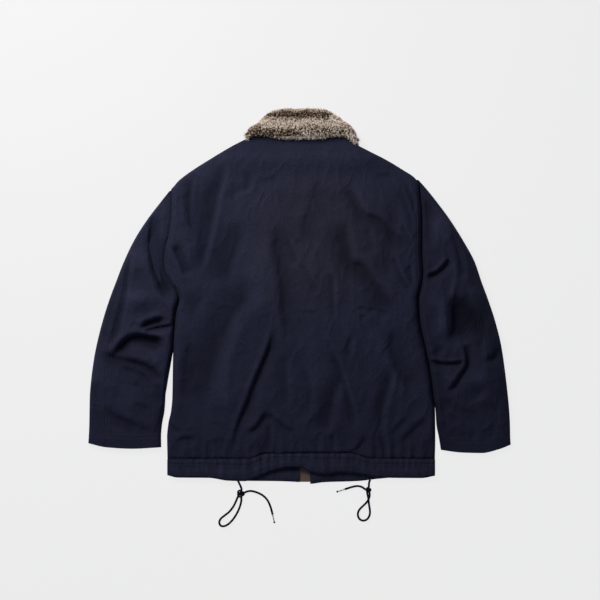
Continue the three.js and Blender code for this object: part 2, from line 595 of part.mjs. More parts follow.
// A sleeve lies as a flattened tube of two pieces: the under sleeve is the upper face
// seen here, the top sleeve turns in at the outline and lies on the surface.
function makeSleeve(side, table, cuff, folds) {
  const outward = side === 'left' ? -1 : 1;
  const outerX = column(table, 'outer');
  const seamIn = column(table, 'seam');
  const crown = column(table, 'crown');
  const apart = column(table, 'apart');
  const edgeX = side === 'left' ? bodyLeft : bodyRight;
  const rise = side === 'left' ? leftRise : rightRise;
  const fold = foldField(folds);
  const cuffY = columnOf(cuff, 'across', 'y');
  const full = Math.max(...table.map((row) => row.crown));
  const low = table.at(-1).y;
  const rows = [...ARM_ROWS.filter((y) => y <= table[0].y), low];

  const measure = (y) => {
    const x0 = outerX(y);
    const x1 = edgeX(y) + outward * apart(y);
    const roll0 = seamIn(y) / SEAM_SHARE;
    const rowY = y === low ? (x) => cuffY((x - x0) / (x1 - x0)) : () => y;
    const top = (x) => crown(y) + (crown(y) / full) * fold(x, rowY(x));
    return { y, x0, x1, roll0, rowY, top, seamAngle: Math.acos(1 - SEAM_SHARE) };
  };

  const under = rows.map((y) => {
    const { x0, x1, roll0, rowY, top, seamAngle } = measure(y);
    const roll1 = Math.min(EDGE_ROLL, (Math.abs(x1 - x0) - roll0) * INNER_ROLL_SHARE);
    return panelSection({
      x0: x0 - outward * SEAM_GAP,
      x1,
      edge0: LOW_TURN,
      edge1: LOW_EDGE + rise(y),
      roll0,
      roll1,
      angle0: seamAngle,
      steps0: 1,
      columns: UNDER_COLUMNS,
      rowY,
      top,
    });
  });

  const around = rows.map((y) => {
    const { x0, x1, roll0, rowY, top, seamAngle } = measure(y);
    const outer = [];
    const inner = [];
    const place = (x, z, xInner, zInner) => {
      outer.push(new THREE.Vector3(x, rowY(x), z));
      inner.push(new THREE.Vector3(xInner, rowY(x), zInner));
    };
    const level = top(x0 - outward * roll0);
    const wallIn = Math.min(CLOTH, roll0 * WALL_SHARE);
    for (let i = 0; i <= ROLL_STEPS; i += 1) {
      const angle = mix(seamAngle, 0, i / ROLL_STEPS);
      const away = 1 - Math.cos(angle);
      place(
        x0 - outward * roll0 * away,
        mix(LOW_TURN, level, Math.sin(angle)),
        x0 - outward * mix(wallIn, roll0, away),
        mix(LOW_TURN, Math.max(level - CLOTH, LOW_TURN), Math.sin(angle)),
      );
    }
    for (let i = 1; i <= TURN_STEPS; i += 1) {
      const angle = (Math.PI / 2) * (i / TURN_STEPS);
      const away = 1 - Math.cos(angle);
      place(
        x0 - outward * LOW_TURN * away,
        LOW_TURN * (1 - Math.sin(angle)),
        x0 - outward * (CLOTH + (LOW_TURN - CLOTH) * away),
        LOW_TURN - (LOW_TURN - CLOTH) * Math.sin(angle),
      );
    }
    for (let i = 1; i <= FLOOR_COLUMNS; i += 1) {
      const x = mix(x0 - outward * LOW_TURN, x1, i / FLOOR_COLUMNS);
      place(x, 0, x, CLOTH);
    }
    return { outer, inner };
  });

  return [
    wall(`sleeve_${side}_under`, navyCloth, under),
    wall(`sleeve_${side}_top`, navyCloth, around),
  ];
}

// Section of a hem casing, flat below and rounded at its free edge
function casingSection(x, seamY, edgeY, base, thick) {
  return CASING_SECTION.map(({ across, up }) => (
    new THREE.Vector3(x, mix(seamY, edgeY, across), base + thick * up)
  ));
}

// The back's casing has a section under each point of the back's lower edge
function makeBackHem() {
  const base = FRONT_CASING + 2 * LAYER_GAP;
  const sections = hemRow().outer.map(({ x }) => (
    casingSection(x, hemSeamY(x), hemEdgeY(x), base + hemRise(x), BACK_CASING)
  ));
  return bandAlongX('hem_back', navyCloth, sections);
}

function makeFrontHem(side) {
  const opening = OPENING[`${side}Edge`];
  const lift = side === 'right' ? lapLift : () => 0;
  const sections = [];
  for (let i = 0; i <= FRONT_STATIONS; i += 1) {
    const x = mix(opening, BODY.at(-1)[side], i / FRONT_STATIONS);
    sections.push(casingSection(x, FRONT_SEAM_Y, frontEdgeY(x), lift(x), FRONT_CASING));
  }
  return bandAlongX(`hem_front_${side}`, navyCloth, sections);
}

// Collar: one thick band of fur round the neck, open like a mouth towards the hem, with
// the neck edges of back and fronts in the mouth
function makeCollar() {
  const [topY, freeY, height, reachY] = ['top', 'edge', 'height', 'reach']
    .map((name) => columnOf(COLLAR, 'x', name));
  const underTop = NECK_LIFT + NECK.crown + 2 * LAYER_GAP;
  const jaw = NECK_LIFT - 2 * LAYER_GAP;
  const sections = [];
  for (let i = 0; i <= COLLAR_STATIONS; i += 1) {
    const x = mix(COLLAR[0].x, COLLAR.at(-1).x, i / COLLAR_STATIONS);
    const mouth = panelTopY(x) + NECK_CLEARANCE;
    const edge = Math.min(freeY(x), mouth - NECK_CLEARANCE);
    const reach = Math.min(reachY(x), mouth - NECK_CLEARANCE);
    const [top, high] = [topY(x), height(x)];
    const low = Math.min(underTop, high - LEAST_FALL);
    const section = [
      [mouth, low],
      [edge + COLLAR_LIP, low],
      ...COLLAR_FALL.map(({ across, up }) => [mix(edge, top, across), mix(low, high, up)]),
      ...COLLAR_FOLD.map(({ across, up }) => [mix(edge, top, across), high * up]),
      [reach + COLLAR_FOOT, 0],
      [reach, jaw / 2],
      [reach + COLLAR_LIP, jaw],
      [mouth, jaw],
    ];
    sections.push(section.map(([y, z]) => new THREE.Vector3(x, y, z)));
  }
  return bandAlongX('collar', furPile, sections);
}

function roundSection(radius, sides) {
  const corners = [];
  for (let i = 0; i < sides; i += 1) {
    const angle = (2 * Math.PI * (i + 0.5)) / sides;
    corners.push(new THREE.Vector2(radius * Math.cos(angle), radius * Math.sin(angle)));
  }
  return new THREE.Shape(corners);
}

const onSurface = ({ x, y, z = CORD.lie }) => new THREE.Vector3(x, y, z);

function makeCord(name, route) {
  const path = new THREE.CatmullRomCurve3(route.map(onSurface));
  const geometry = new THREE.ExtrudeGeometry(roundSection(CORD.radius, CORD.sides), {
    extrudePath: path,
    steps: Math.max(2, Math.round(path.getLength() / CORD.step)),
    bevelEnabled: false,
  });
  const cord = new THREE.Mesh(geometry, braid);
  cord.name = name;
  return cord;
}

function makeKnot(name, { at, radius, height }) {
  const knot = new THREE.Mesh(new THREE.SphereGeometry(1, 14, 8), braid);
  knot.geometry.rotateX(Math.PI / 2);
  knot.geometry.scale(radius, radius, height / 2);
  knot.position.set(at[0], at[1], height / 2);
  knot.name = name;
  return knot;
}

// Metal ferrule on the cord's end, with a bead beyond it, in the cord's last direction
function makeTip(side, route) {
  const [before, end] = route.slice(-2).map(onSurface);
  const way = end.clone().sub(before).setZ(0).normalize();
  const at = (distance, z) => end.clone().addScaledVector(way, distance).setZ(z);
  const profile = [
    [0, 0],
    [TIP.mouth, 0],
    [TIP.mouth, TIP.lip],
    [TIP.radius, TIP.neck],
    [TIP.radius, TIP.length],
    [0, TIP.length],
  ].map(([r, h]) => new THREE.Vector2(r, h));
  const tip = new THREE.Mesh(new THREE.LatheGeometry(profile, 10), nickel);
  tip.name = `cord_tip_${side}`;
  tip.position.copy(at(LAYER_GAP, CORD.lie));
  tip.rotation.z = Math.atan2(way.y, way.x) - Math.PI / 2;
  const bead = new THREE.Mesh(new THREE.SphereGeometry(TIP.bead, 10, 6), lacquer);
  bead.name = `cord_bead_${side}`;
  bead.position.copy(at(2 * LAYER_GAP + TIP.length + TIP.bead, TIP.bead));
  return [tip, bead];
}

const jacket = new THREE.Group();
jacket.name = 'deck_jacket';
jacket.add(
  makeFront('left'),
  makeFront('right'),
  makeTape(),
  makeBack(),
  ...makeSleeve('left', SLEEVE_LEFT, CUFF_LEFT, LEFT_FOLDS),
  ...makeSleeve('right', SLEEVE_RIGHT, CUFF_RIGHT, RIGHT_FOLDS),
  makeBackHem(),
  makeFrontHem('left'),
  makeFrontHem('right'),
  makeCollar(),
  makeCord('cord_left_lead', LEFT_LEAD),
  makeCord('cord_left_loop', LEFT_LOOP),
  makeCord('cord_left_tail', LEFT_TAIL),
  makeCord('cord_right_lead', RIGHT_LEAD),
  makeCord('cord_right_loop', RIGHT_LOOP),
  makeCord('cord_right_tail', RIGHT_TAIL),
  makeKnot('knot_left', KNOT_LEFT),
  makeKnot('knot_right', KNOT_RIGHT),
  ...makeTip('left', LEFT_TAIL),
  ...makeTip('right', RIGHT_TAIL),
);

export default jacket;
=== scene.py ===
# %% [markdown]
# # Deck jacket, laid flat with its back upwards
# A hip-length jacket of heavy corded cotton with a fur collar lies on a pale table and is
# seen from straight above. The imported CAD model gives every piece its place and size; this
# script gives the pieces their fine shape and their materials. Lengths in the tables are in
# millimetres, as on a paper pattern, and are turned to metres as a mesh is made.

# %% Load the frame
import math
from collections import namedtuple

import bmesh
import bpy
import numpy as np
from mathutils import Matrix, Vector, noise
from mathutils.bvhtree import BVHTree


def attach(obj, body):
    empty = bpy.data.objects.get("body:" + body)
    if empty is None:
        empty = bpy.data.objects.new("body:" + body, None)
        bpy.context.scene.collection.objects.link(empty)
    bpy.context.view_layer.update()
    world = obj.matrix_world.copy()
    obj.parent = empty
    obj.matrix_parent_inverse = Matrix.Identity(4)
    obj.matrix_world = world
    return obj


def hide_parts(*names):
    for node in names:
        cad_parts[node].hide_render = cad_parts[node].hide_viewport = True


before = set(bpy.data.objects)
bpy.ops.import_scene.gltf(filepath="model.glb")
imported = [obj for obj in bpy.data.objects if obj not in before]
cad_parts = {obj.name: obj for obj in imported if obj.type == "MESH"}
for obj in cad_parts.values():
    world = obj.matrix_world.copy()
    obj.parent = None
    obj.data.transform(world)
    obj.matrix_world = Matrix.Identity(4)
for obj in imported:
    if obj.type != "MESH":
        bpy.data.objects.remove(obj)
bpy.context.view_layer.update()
scene = bpy.context.scene
MM = 0.001
TURN = 2 * math.pi
print("CAD nodes:", len(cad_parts))

# %% [markdown]
# ## Camera and light
# The camera looks straight down from four metres, so that the jacket's height hardly moves
# its outline. One large soft box stands behind the left shoulder, near enough that its
# light falls off towards the hem and the right cuff, and low enough to draw the folds. A
# pale sky fills the rest. The table glows a little, like a photographer's lit sheet, so
# that hardly any shadow is left on it.

# %% Camera
VIEW_WIDTH, CAMERA_HEIGHT, SENSOR = 1.260, 4.0, 36.0

camera_data = bpy.data.cameras.new("camera")
camera_data.sensor_width = SENSOR
camera_data.lens = SENSOR * CAMERA_HEIGHT / VIEW_WIDTH
camera = bpy.data.objects.new("camera", camera_data)
camera.location = (0.001, -0.0077, CAMERA_HEIGHT)
scene.collection.objects.link(camera)
scene.camera = camera
scene.view_settings.view_transform = "Standard"
print("lens", round(camera_data.lens, 1))


# %% Colours and nodes
def srgb(code):
    """Linear colour of an sRGB hex code."""
    parts = [int(code[i:i + 2], 16) / 255 for i in (0, 2, 4)]
    linear = [c / 12.92 if c <= 0.04045 else ((c + 0.055) / 1.055) ** 2.4 for c in parts]
    return (*linear, 1.0)


def feed(tree, node, inputs):
    """Sets a node's sockets, by name or number, to values or links them to sockets."""
    for key, value in inputs.items():
        if isinstance(value, bpy.types.NodeSocket):
            tree.links.new(value, node.inputs[key])
        else:
            node.inputs[key].default_value = value


def add(tree, kind, inputs=None, **settings):
    """Adds a node and feeds it."""
    made = tree.nodes.new(kind)
    for name, value in settings.items():
        setattr(made, name, value)
    feed(tree, made, inputs or {})
    return made


def calc(tree, operation, *values, **settings):
    """Result of a Math node."""
    return add(tree, "ShaderNodeMath", dict(enumerate(values)), operation=operation,
               **settings).outputs[0]


def vector(tree, operation, *values):
    """Result of a Vector Math node; SCALE takes a vector and a factor."""
    inputs = dict(enumerate(values)) if operation != "SCALE" else {0: values[0],
                                                                    "Scale": values[1]}
    made = add(tree, "ShaderNodeVectorMath", inputs, operation=operation)
    return made.outputs["Value" if operation == "DISTANCE" else "Vector"]


def xyz(tree, **parts):
    return add(tree, "ShaderNodeCombineXYZ", parts).outputs[0]


def cloudy(tree, at, scale, detail=2.0, inputs=None, output="Fac", **settings):
    """A noise texture read at a vector."""
    return add(tree, "ShaderNodeTexNoise", {"Vector": at, "Scale": scale, "Detail": detail,
                                            **(inputs or {})}, **settings).outputs[output]


def ranged(tree, value, *ends, **settings):
    """A value taken from one range, low to high, to another."""
    names = ("From Min", "From Max", "To Min", "To Max")
    return add(tree, "ShaderNodeMapRange", {"Value": value, **dict(zip(names, ends))},
               **settings).outputs["Result"]


def ramp(tree, factor, *stops):
    """Colour from a ramp whose stops are positions and sRGB codes, in order."""
    made = add(tree, "ShaderNodeValToRGB", {"Fac": factor})
    marks = made.color_ramp.elements
    for position, code in stops[1:-1]:
        marks.new(position).color = srgb(code)
    for mark, (position, code) in ((marks[0], stops[0]), (marks[-1], stops[-1])):
        mark.position, mark.color = position, srgb(code)
    return made.outputs["Color"]


def blend(tree, factor, first, second):
    return add(tree, "ShaderNodeMixRGB", {"Fac": factor, "Color1": first,
                                          "Color2": second}).outputs["Color"]


def bumped(tree, height, strength, distance, **below):
    return add(tree, "ShaderNodeBump", {"Height": height, "Strength": strength,
                                        "Distance": distance, **below}).outputs["Normal"]


def attribute(tree, name):
    return add(tree, "ShaderNodeAttribute", attribute_name=name).outputs["Fac"]


def surface(name, preview):
    """A new material with its tree, its Principled shader and its coordinates."""
    made = bpy.data.materials.new(name)
    made.use_nodes = True
    made.diffuse_color = srgb(preview)
    tree = made.node_tree
    return (made, tree, tree.nodes["Principled BSDF"],
            add(tree, "ShaderNodeTexCoord").outputs)


def coat(tree, shader, colour, rough, shine, **more):
    """Feeds a shader; shine is its specular level, and more holds rarer sockets."""
    feed(tree, shader, {"Base Color": colour, "Roughness": rough, "Specular IOR Level": shine,
                        **{key.replace("_", " "): value for key, value in more.items()}})


# %% Light and table
SKY, SKY_TINT = 0.215, (0.88, 0.95, 1.14, 1)
BOX_POWER, BOX_TINT, BOX_SIZE = 28.4, (1.0, 0.985, 0.955), 0.6
BOX_PLACE, BOX_AIM = Vector((-0.76, 1.00, 0.98)), Vector((0.02, 0.0, 0.0))
TABLE_GREY, TABLE_GLOW, TABLE = 0.06, 0.80, 14.0
soft_box = bpy.data.lights.new("soft_box", "AREA")
soft_box.energy, soft_box.size, soft_box.color = BOX_POWER, BOX_SIZE, BOX_TINT
lamp = bpy.data.objects.new("soft_box", soft_box)
lamp.location = BOX_PLACE
lamp.rotation_euler = (BOX_AIM - BOX_PLACE).to_track_quat("-Z", "Y").to_euler()
scene.collection.objects.link(lamp)

world = bpy.data.worlds.new("studio")
world.use_nodes = True
feed(world.node_tree, world.node_tree.nodes["Background"], {"Color": SKY_TINT, "Strength": SKY})
scene.world = world

# Paint that glows: what shows of it is even, with the faintest shadow.
table_paint, tree, shader, place = surface("pale table paint", "F2F2F2")
coat(tree, shader, (TABLE_GREY, TABLE_GREY, TABLE_GREY, 1), 1.0, 0.0,
     Emission_Color=(1, 1, 1, 1), Emission_Strength=TABLE_GLOW)
plate = bpy.data.meshes.new("table")
plate.from_pydata([(x * TABLE, y * TABLE, 0) for x, y in ((-1, -1), (1, -1), (1, 1), (-1, 1))],
                  [], [(0, 1, 2, 3)])
plate.materials.append(table_paint)
table = bpy.data.objects.new("table", plate)
scene.collection.objects.link(table)


# %% Tables and curves
def rows_of(text):
    """Rows with named columns from a small text table; its first line names them."""
    head, *lines = text.strip().splitlines()
    Row = namedtuple("Row", head.split())
    return [Row(*map(float, line.split())) for line in lines]


def column(rows, along, name):
    """Smooth curve through one column of a table against another, with no overshoot."""
    at, value = np.array(sorted((getattr(row, along), getattr(row, name)) for row in rows)).T
    slope = np.diff(value) / np.diff(at)
    tangent = np.empty_like(value)
    tangent[0], tangent[-1] = slope[0], slope[-1]
    product, total = slope[:-1] * slope[1:], slope[:-1] + slope[1:]
    level = product <= 0
    tangent[1:-1] = np.where(level, 0, 2 * product / np.where(level, 1, total))

    def read(where):
        inside = np.clip(where, at[0], at[-1])
        i = np.clip(np.searchsorted(at, inside, side="right") - 1, 0, len(at) - 2)
        span = at[i + 1] - at[i]
        t = (inside - at[i]) / span
        ease = t * t * (3 - 2 * t)
        leave, arrive = t * (1 - t) ** 2 * span, t * t * (t - 1) * span
        bend = leave * tangent[i] + arrive * tangent[i + 1]
        return value[i] * (1 - ease) + value[i + 1] * ease + bend

    return read


def columns(rows):
    """A curve for each column of a table against its first one."""
    first, *others = rows[0]._fields
    return {name: column(rows, first, name) for name in others}


def mix(start, end, share):
    return start + (end - start) * share


def smooth(start, end, value):
    share = np.clip((value - start) / (end - start), 0, 1)
    return share * share * (3 - 2 * share)


def bell(value, middle, width):
    """1 at the middle, running out to 0 on both sides."""
    return np.exp(-((value - middle) / width) ** 2)


def through(points, step):
    """Points every step along a smooth curve (Catmull-Rom) through the given points."""
    given = np.array(points, float)
    ends = [2 * given[0] - given[1], *given, 2 * given[-1] - given[-2]]
    fine = []
    for a, b, c, d in zip(ends, ends[1:], ends[2:], ends[3:]):
        t = np.linspace(0, 1, 16, endpoint=False)[:, None]
        fine.append(0.5 * (2 * b + (c - a) * t + (2 * a - 5 * b + 4 * c - d) * t ** 2
                           + (3 * b - a - 3 * c + d) * t ** 3))
    fine = np.vstack([*fine, given[-1]])
    reach = lengths_along(fine)
    stops = np.linspace(0, reach[-1], max(2, round(reach[-1] / step) + 1))
    return np.stack([np.interp(stops, reach, fine[:, k]) for k in range(given.shape[1])], 1)


def lengths_along(path):
    return np.r_[0, np.cumsum(np.linalg.norm(np.diff(path, axis=0), axis=1))]


# %% Meshes
def piece(name, points, faces, material, uv=None, sharp=50, **values):
    """A new object at the origin. points are millimetres; values are point attributes."""
    mesh = bpy.data.meshes.new(name)
    mesh.from_pydata((np.asarray(points, float) * MM).tolist(), [], faces)
    mesh.polygons.foreach_set("use_smooth", [True] * len(mesh.polygons))
    mesh.set_sharp_from_angle(angle=math.radians(sharp))
    mesh.materials.append(material)
    if uv is not None:
        corner = np.empty(len(mesh.loops), int)
        mesh.loops.foreach_get("vertex_index", corner)
        layer = mesh.uv_layers.new(name="UVMap")
        layer.data.foreach_set("uv", (np.asarray(uv, float)[corner]).astype("f").ravel())
    for key, value in values.items():
        layer = mesh.attributes.new(key, "FLOAT", "POINT")
        layer.data.foreach_set("value", np.asarray(value, "f").ravel())
    return placed(name, mesh)


def placed(name, mesh):
    """A new object with a mesh, in the scene."""
    made = bpy.data.objects.new(name, mesh)
    scene.collection.objects.link(made)
    return made


def keep(made, slot, *nodes):
    """Hangs a finished piece under the root empty and hides the CAD nodes that it takes the place
    of; slot is not used.
    """
    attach(made, "root")
    if nodes:
        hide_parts(*nodes)
    print(made.name, len(made.data.polygons), "faces")
    return made


def grid_faces(height, width, start=0, closed=False):
    """Faces of a grid of height rows; closed joins its last column to its first."""
    faces = []
    for r in range(height - 1):
        for c in range(width if closed else width - 1):
            a, b = start + r * width + c, start + r * width + (c + 1) % width
            faces.append((a, b, b + width, a + width))
    return faces


def tube_faces(height, width):
    """Faces of a closed tube: rings of width points, and a lid on each end."""
    last = (height - 1) * width
    return ([face[::-1] for face in grid_faces(height, width, closed=True)]
            + [tuple(range(width)), tuple(range(last + width - 1, last - 1, -1))])

# %% [markdown]
# ## Drawcords
# A round braided cotton cord runs in the hem. It comes out of the casing on each side, is
# tied in a knot with one loop, and its free end has a nickel ferrule with a dark bead. A
# mesh tube is used instead of a bevelled curve, as it can carry the braid's relief:
# strands that run round it both ways.

# %% Braided cotton cord
# Braided cotton: matt, nearly black navy; the ramp on the braid's relief paints light along each
# strand's crown and shade in the hollows between strands.
CORD_DIAMETER = 4.4
BRAID_LAY = 9.0  # length in which a strand goes once round the cord
STRANDS = 4  # in each direction

braid, tree, shader, place = surface("black navy braided cotton", "14151C")
fibre = cloudy(tree, place["Object"], 2600.0)
# Painted shade in the hollows between strands and painted light along their crowns.
strand_light_and_shade = ramp(tree, attribute(tree, "relief"), (0, "03050D"), (1, "11142A"))
coat(tree, shader, blend(tree, fibre, strand_light_and_shade, srgb("0B0E1C")), 0.85, 0.1,
     Normal=bumped(tree, fibre, 0.25, 0.0002))


# %% Tubes along a route
def frames_along(path):
    """Two side directions at each point, turned as little as possible."""
    tangent = np.gradient(path, axis=0)
    tangent /= np.linalg.norm(tangent, axis=1)[:, None]
    side = np.cross(tangent[0], (0, 0, 1))
    sides = []
    for way in tangent:
        side = side - way * np.dot(side, way)
        side /= np.linalg.norm(side)
        sides.append(side)
    sides = np.array(sides)
    return sides, np.cross(sides, tangent)


def braided_tube(name, path, diameter, ends=0.5):
    """Tube whose wall has the crossing strands of a braid; ends round off over ends mm."""
    around = 20
    sides, ups = frames_along(path)
    reach = lengths_along(path)[:, None]
    angle = np.linspace(0, TURN, around, endpoint=False)[None, :]
    lay = reach / BRAID_LAY * TURN
    right = np.cos(STRANDS * (angle + lay)) * 0.5 + 0.5
    left = np.cos(STRANDS * (angle - lay) + math.pi) * 0.5 + 0.5
    relief = np.maximum(right, left)
    cap = np.sqrt(np.clip(np.minimum(reach, reach[-1] - reach) / ends, 0, 1))
    radius = diameter / 2 * (0.9 + 0.14 * relief) * np.maximum(cap, 0.02)
    points = (path[:, None] + radius[..., None] * (np.cos(angle)[..., None] * sides[:, None]
                                                   + np.sin(angle)[..., None] * ups[:, None]))
    uv = np.stack(np.broadcast_arrays(angle / TURN, reach / 10), -1)
    return piece(name, points.reshape(-1, 3), tube_faces(len(path), around), braid,
                 uv.reshape(-1, 2), sharp=180, relief=relief)


# %% Routes
LEFT_CORD = rows_of("""x y z
-129.4 -386.5 2.3
-127 -391.6 2.3
-123.8 -398.4 2.3
-121.8 -405.4 2.3
-125 -413.9 3.4
-129.3 -420.5 2.6
-133.6 -430.6 2.3
-139.5 -442.1 2.3
-148 -452.6 2.3
-157.5 -460.1 2.3
-165.5 -467.1 2.3
-168.4 -474.6 2.3
-165.5 -481.1 2.3
-158.5 -482.4 2.3
-149.5 -478.1 2.3
-140 -468.6 2.3
-132 -456.6 2.3
-126 -443.6 2.3
-122.6 -431.6 2.3
-122 -422.15 2.6
-121.5 -415.4 5.6
-115.8 -412.2 2.8
-109.5 -409.5 2.3
-102 -408.6 2.3
-93.5 -410.2 2.3
-83 -414.4 2.3
-73.5 -420.8 2.3
-66 -430.1 2.3
-60.8 -442.1 2.3
-57.6 -453.6 2.3
-56.4 -458.6 2.3
""")
RIGHT_CORD = rows_of("""x y z
148.4 -384.6 2.3
146.6 -388.8 2.3
145.6 -394.3 2.3
145.5 -399.45 2.3
143.4 -406.1 3.4
142.1 -412.6 2.6
143.2 -417.8 2.3
144.5 -424.8 2.3
145.3 -432.8 2.3
146.6 -441.8 2.3
147.8 -450.8 2.3
147 -459.3 2.3
143.2 -466.4 2.3
137 -470.3 2.3
130.2 -470 2.3
124.6 -465.5 2.3
122.4 -457.8 2.3
124.2 -450.2 2.3
129.2 -443.8 2.4
135 -438.2 3.2
140.2 -432.6 5.2
144.2 -426.4 7.1
146.7 -420.2 5.6
147.1 -416.2 3
147 -412.7 2.6
144.6 -407.2 5.4
137.4 -404.7 2.8
132.4 -401 2.3
126.5 -398.8 2.3
119.5 -398.3 2.3
111.5 -399.8 2.3
103 -402.3 2.3
94.6 -405 2.3
""")
KNOTS = rows_of("""x y radius height
-123.6 -413.9 9 10
144.4 -406.1 6.6 9.2
""")


def knot(name, at):
    """A drawn-up overhand knot: its cord follows a trefoil that is pressed flat."""
    t = np.linspace(0, TURN, 140)
    thick = CORD_DIAMETER * 0.88
    ring = (at.radius - thick / 2) / 3 * (2 + np.cos(3 * t))
    path = np.stack([at.x + ring * np.cos(2 * t), at.y + ring * np.sin(2 * t),
                     at.height / 2 + (at.height - thick) / 2 * np.sin(3 * t)], 1)
    return braided_tube(name, path, thick, ends=0.05)


# %% Ferrules and beads
# Nickel-plated brass, drawn thin and crimped: bright, with a slightly uneven gloss.
nickel, tree, shader, place = surface("bright nickel plate", "B8B8B4")
gloss = ranged(tree, cloudy(tree, place["Object"], 900.0), 0.0, 1.0, 0.18, 0.36)
coat(tree, shader, srgb("BCBCB8"), gloss, 0.5, Metallic=1.0)

# Black lacquer over brass: semi-gloss, with brown showing through where it is thin.
lacquer, tree, shader, place = surface("black lacquered brass", "26262C")
thin = ramp(tree, cloudy(tree, place["Object"], 700.0), (0.45, "1E1E24"), (0.75, "4A3B2C"))
coat(tree, shader, thin, 0.35, 0.5)


def turned(name, profile, start, way, material, sides=20):
    """A lathe form: profile is (distance, radius) from start in the direction way."""
    across = np.array([-way[1], way[0], 0])
    angle = np.linspace(0, TURN, sides, endpoint=False)
    points = [start + way * d + r * (np.cos(a) * across + np.sin(a) * np.array([0, 0, 1]))
              for d, r in profile for a in angle]
    return piece(name, points, tube_faces(len(profile), sides), material, sharp=40)


FERRULE = ((0.3, 1.2), (0.3, 2.0), (1.6, 2.05), (2.0, 1.75), (3.4, 1.35), (5.0, 1.3), (5.4, 1.1),
           (5.9, 1.1), (6.3, 1.3), (11.0, 1.3), (11.4, 1.45), (12.6, 1.45), (13.3, 1.0))
BEAD_AT, BEAD = 13.6, 2.3

for side, route, at in zip(("left", "right"), (LEFT_CORD, RIGHT_CORD), KNOTS):
    path = through(route, 0.7)
    cord = keep(braided_tube(f"drawcord_{side}", path, CORD_DIAMETER), "braid",
                f"cord_{side}_lead", f"cord_{side}_loop", f"cord_{side}_tail")
    wraps = keep(knot(f"drawcord_knot_{side}", at), "braid", f"knot_{side}")
    way = path[-1] - path[-4]
    way[2] = 0
    way /= np.linalg.norm(way)
    end = np.array([*path[-1][:2], route[-1].z])
    ferrule = keep(turned(f"cord_ferrule_{side}", FERRULE, end, way, nickel), "nickel",
                   f"cord_tip_{side}")
    ball = [(BEAD_AT + BEAD - BEAD * math.cos(a), max(BEAD * math.sin(a), 0.05))
            for a in np.linspace(0, math.pi, 11)]
    bead = keep(turned(f"cord_end_bead_{side}", ball, end, way, lacquer), "lacquer",
                f"cord_bead_{side}")

# %% [markdown]
# ## Navy jungle cloth
# The shell is a dense corded cotton: fine ribs, a dry matt face and hardly any gloss. The
# ribs are a wave pattern on each piece's own UV map, which holds real millimetres, so that
# they follow the piece. A value at every point tells how deep it lies in a fold, and the
# colour follows it: creases, seam grooves and the sleeve beside the back are darkened as
# painted shade, and ridges are made paler as painted light. Where the shoulder blades rub,
# the back is a little greyer. Small sharp wrinkles too fine for the mesh are left to a bump.

# %% Jungle cloth
# Vat-dyed cotton: matt dark navy, slightly milky at low angles from its short nap.
RIB = 1.1  # real ribs are 0.8 mm apart; drawn a little wider so that they still show
# Painted shade and light: the darkest colour is shade painted into creases and grooves, the palest
# is light painted on ridges.
NAVY = {"crease_shade": "0B0E1B", "cloth": "1D1F30", "crown": "282B3D"}
WORN_AT, WORN_FROM, WORN_TO = (0.034, 0.128, 0.02), 0.05, 0.23  # on the shoulder blades
WORN_TINT = (0.23, 0.115, -0.06)  # what the wear adds to red, green and blue
WAVE = TURN / 20  # scale of a wave texture whose bands are one unit apart


def corded_cotton(name, colours, rib):
    """Cotton with fine ribs across the piece; a point value from 0 to 1 paints shade into creases
    and light onto ridges.
    """
    made, tree, shader, place = surface(name, colours["cloth"])
    flow = place["Object"]
    # Painted shade in creases and grooves and painted light on ridges, read from each point's fold
    # shading value.
    fold_shading_colour = ramp(tree, attribute(tree, "fold"), (0, colours["crease_shade"]), (0.5, colours["cloth"]),
                (1, colours["crown"]))
    cloud = cloudy(tree, flow, 14.0, 5.0)
    speck = cloudy(tree, flow, 240.0, 5.0, {"Roughness": 0.65})
    dyed = calc(tree, "MULTIPLY", ranged(tree, cloud, 0.3, 0.7, 0.88, 1.12),
                ranged(tree, speck, 0.25, 0.75, 0.72, 1.28))
    worn = ranged(tree, vector(tree, "DISTANCE", flow, WORN_AT), WORN_FROM, WORN_TO, 1.0, 0.0,
                  interpolation_type="SMOOTHSTEP")
    tint = vector(tree, "MULTIPLY_ADD", worn, WORN_TINT, (1.0, 1.0, 1.0))
    ribs = add(tree, "ShaderNodeTexWave", {"Vector": place["UV"], "Distortion": 1.2,
                                           "Detail": 1.0, "Scale": WAVE / rib},
               bands_direction="Y").outputs["Fac"]
    drawn = vector(tree, "MULTIPLY", flow, (1.25, 0.8, 1.0))
    lines = cloudy(tree, drawn, 26.0, 2.0, {"Offset": 0.9, "Gain": 1.4, "Distortion": 0.4},
                   noise_type="RIDGED_MULTIFRACTAL", normalize=False)
    soft = bumped(tree, calc(tree, "MULTIPLY", lines, cloud), 1.0, 0.0021)
    yarn = bumped(tree, calc(tree, "ADD", ribs, speck), 0.35, 0.00025, Normal=soft)
    coat(tree, shader, vector(tree, "MULTIPLY", vector(tree, "SCALE", fold_shading_colour, dyed), tint), 0.9,
         0.12, Normal=yarn, Sheen_Weight=0.12, Sheen_Roughness=0.5, Sheen_Tint=srgb("5A6080"))
    return made


jungle_cloth = corded_cotton("navy jungle cloth", NAVY, RIB)
print("rib spacing", RIB, "mm")

# %% [markdown]
# ## Folds
# Cloth folds steeply on one side and runs out slowly on the other. Each row of a table
# gives one fold: its width, its depth, which side the steep flank and its ridge stand on,
# and the line that it follows; it dies away at both ends. The lines were laid where the
# jacket is pulled: from the armholes to the hem, across the small of the back, at the
# elbows and above the drawcord. Noise adds the soft unevenness between them and small
# wrinkles, which nobody could lay one by one.

# %% Fold fields
SLOW_SIDE, STEEP_SIDE, CREST_AT, CREST_WIDTH = 2.1, 0.7, 1.7, 1.0  # shares of the width
EVEN_SIDE = 1.4  # both flanks of a dent that has no ridge
HOLLOW_WIDTH = 3.2  # a fold lies in a wide, shallow hollow


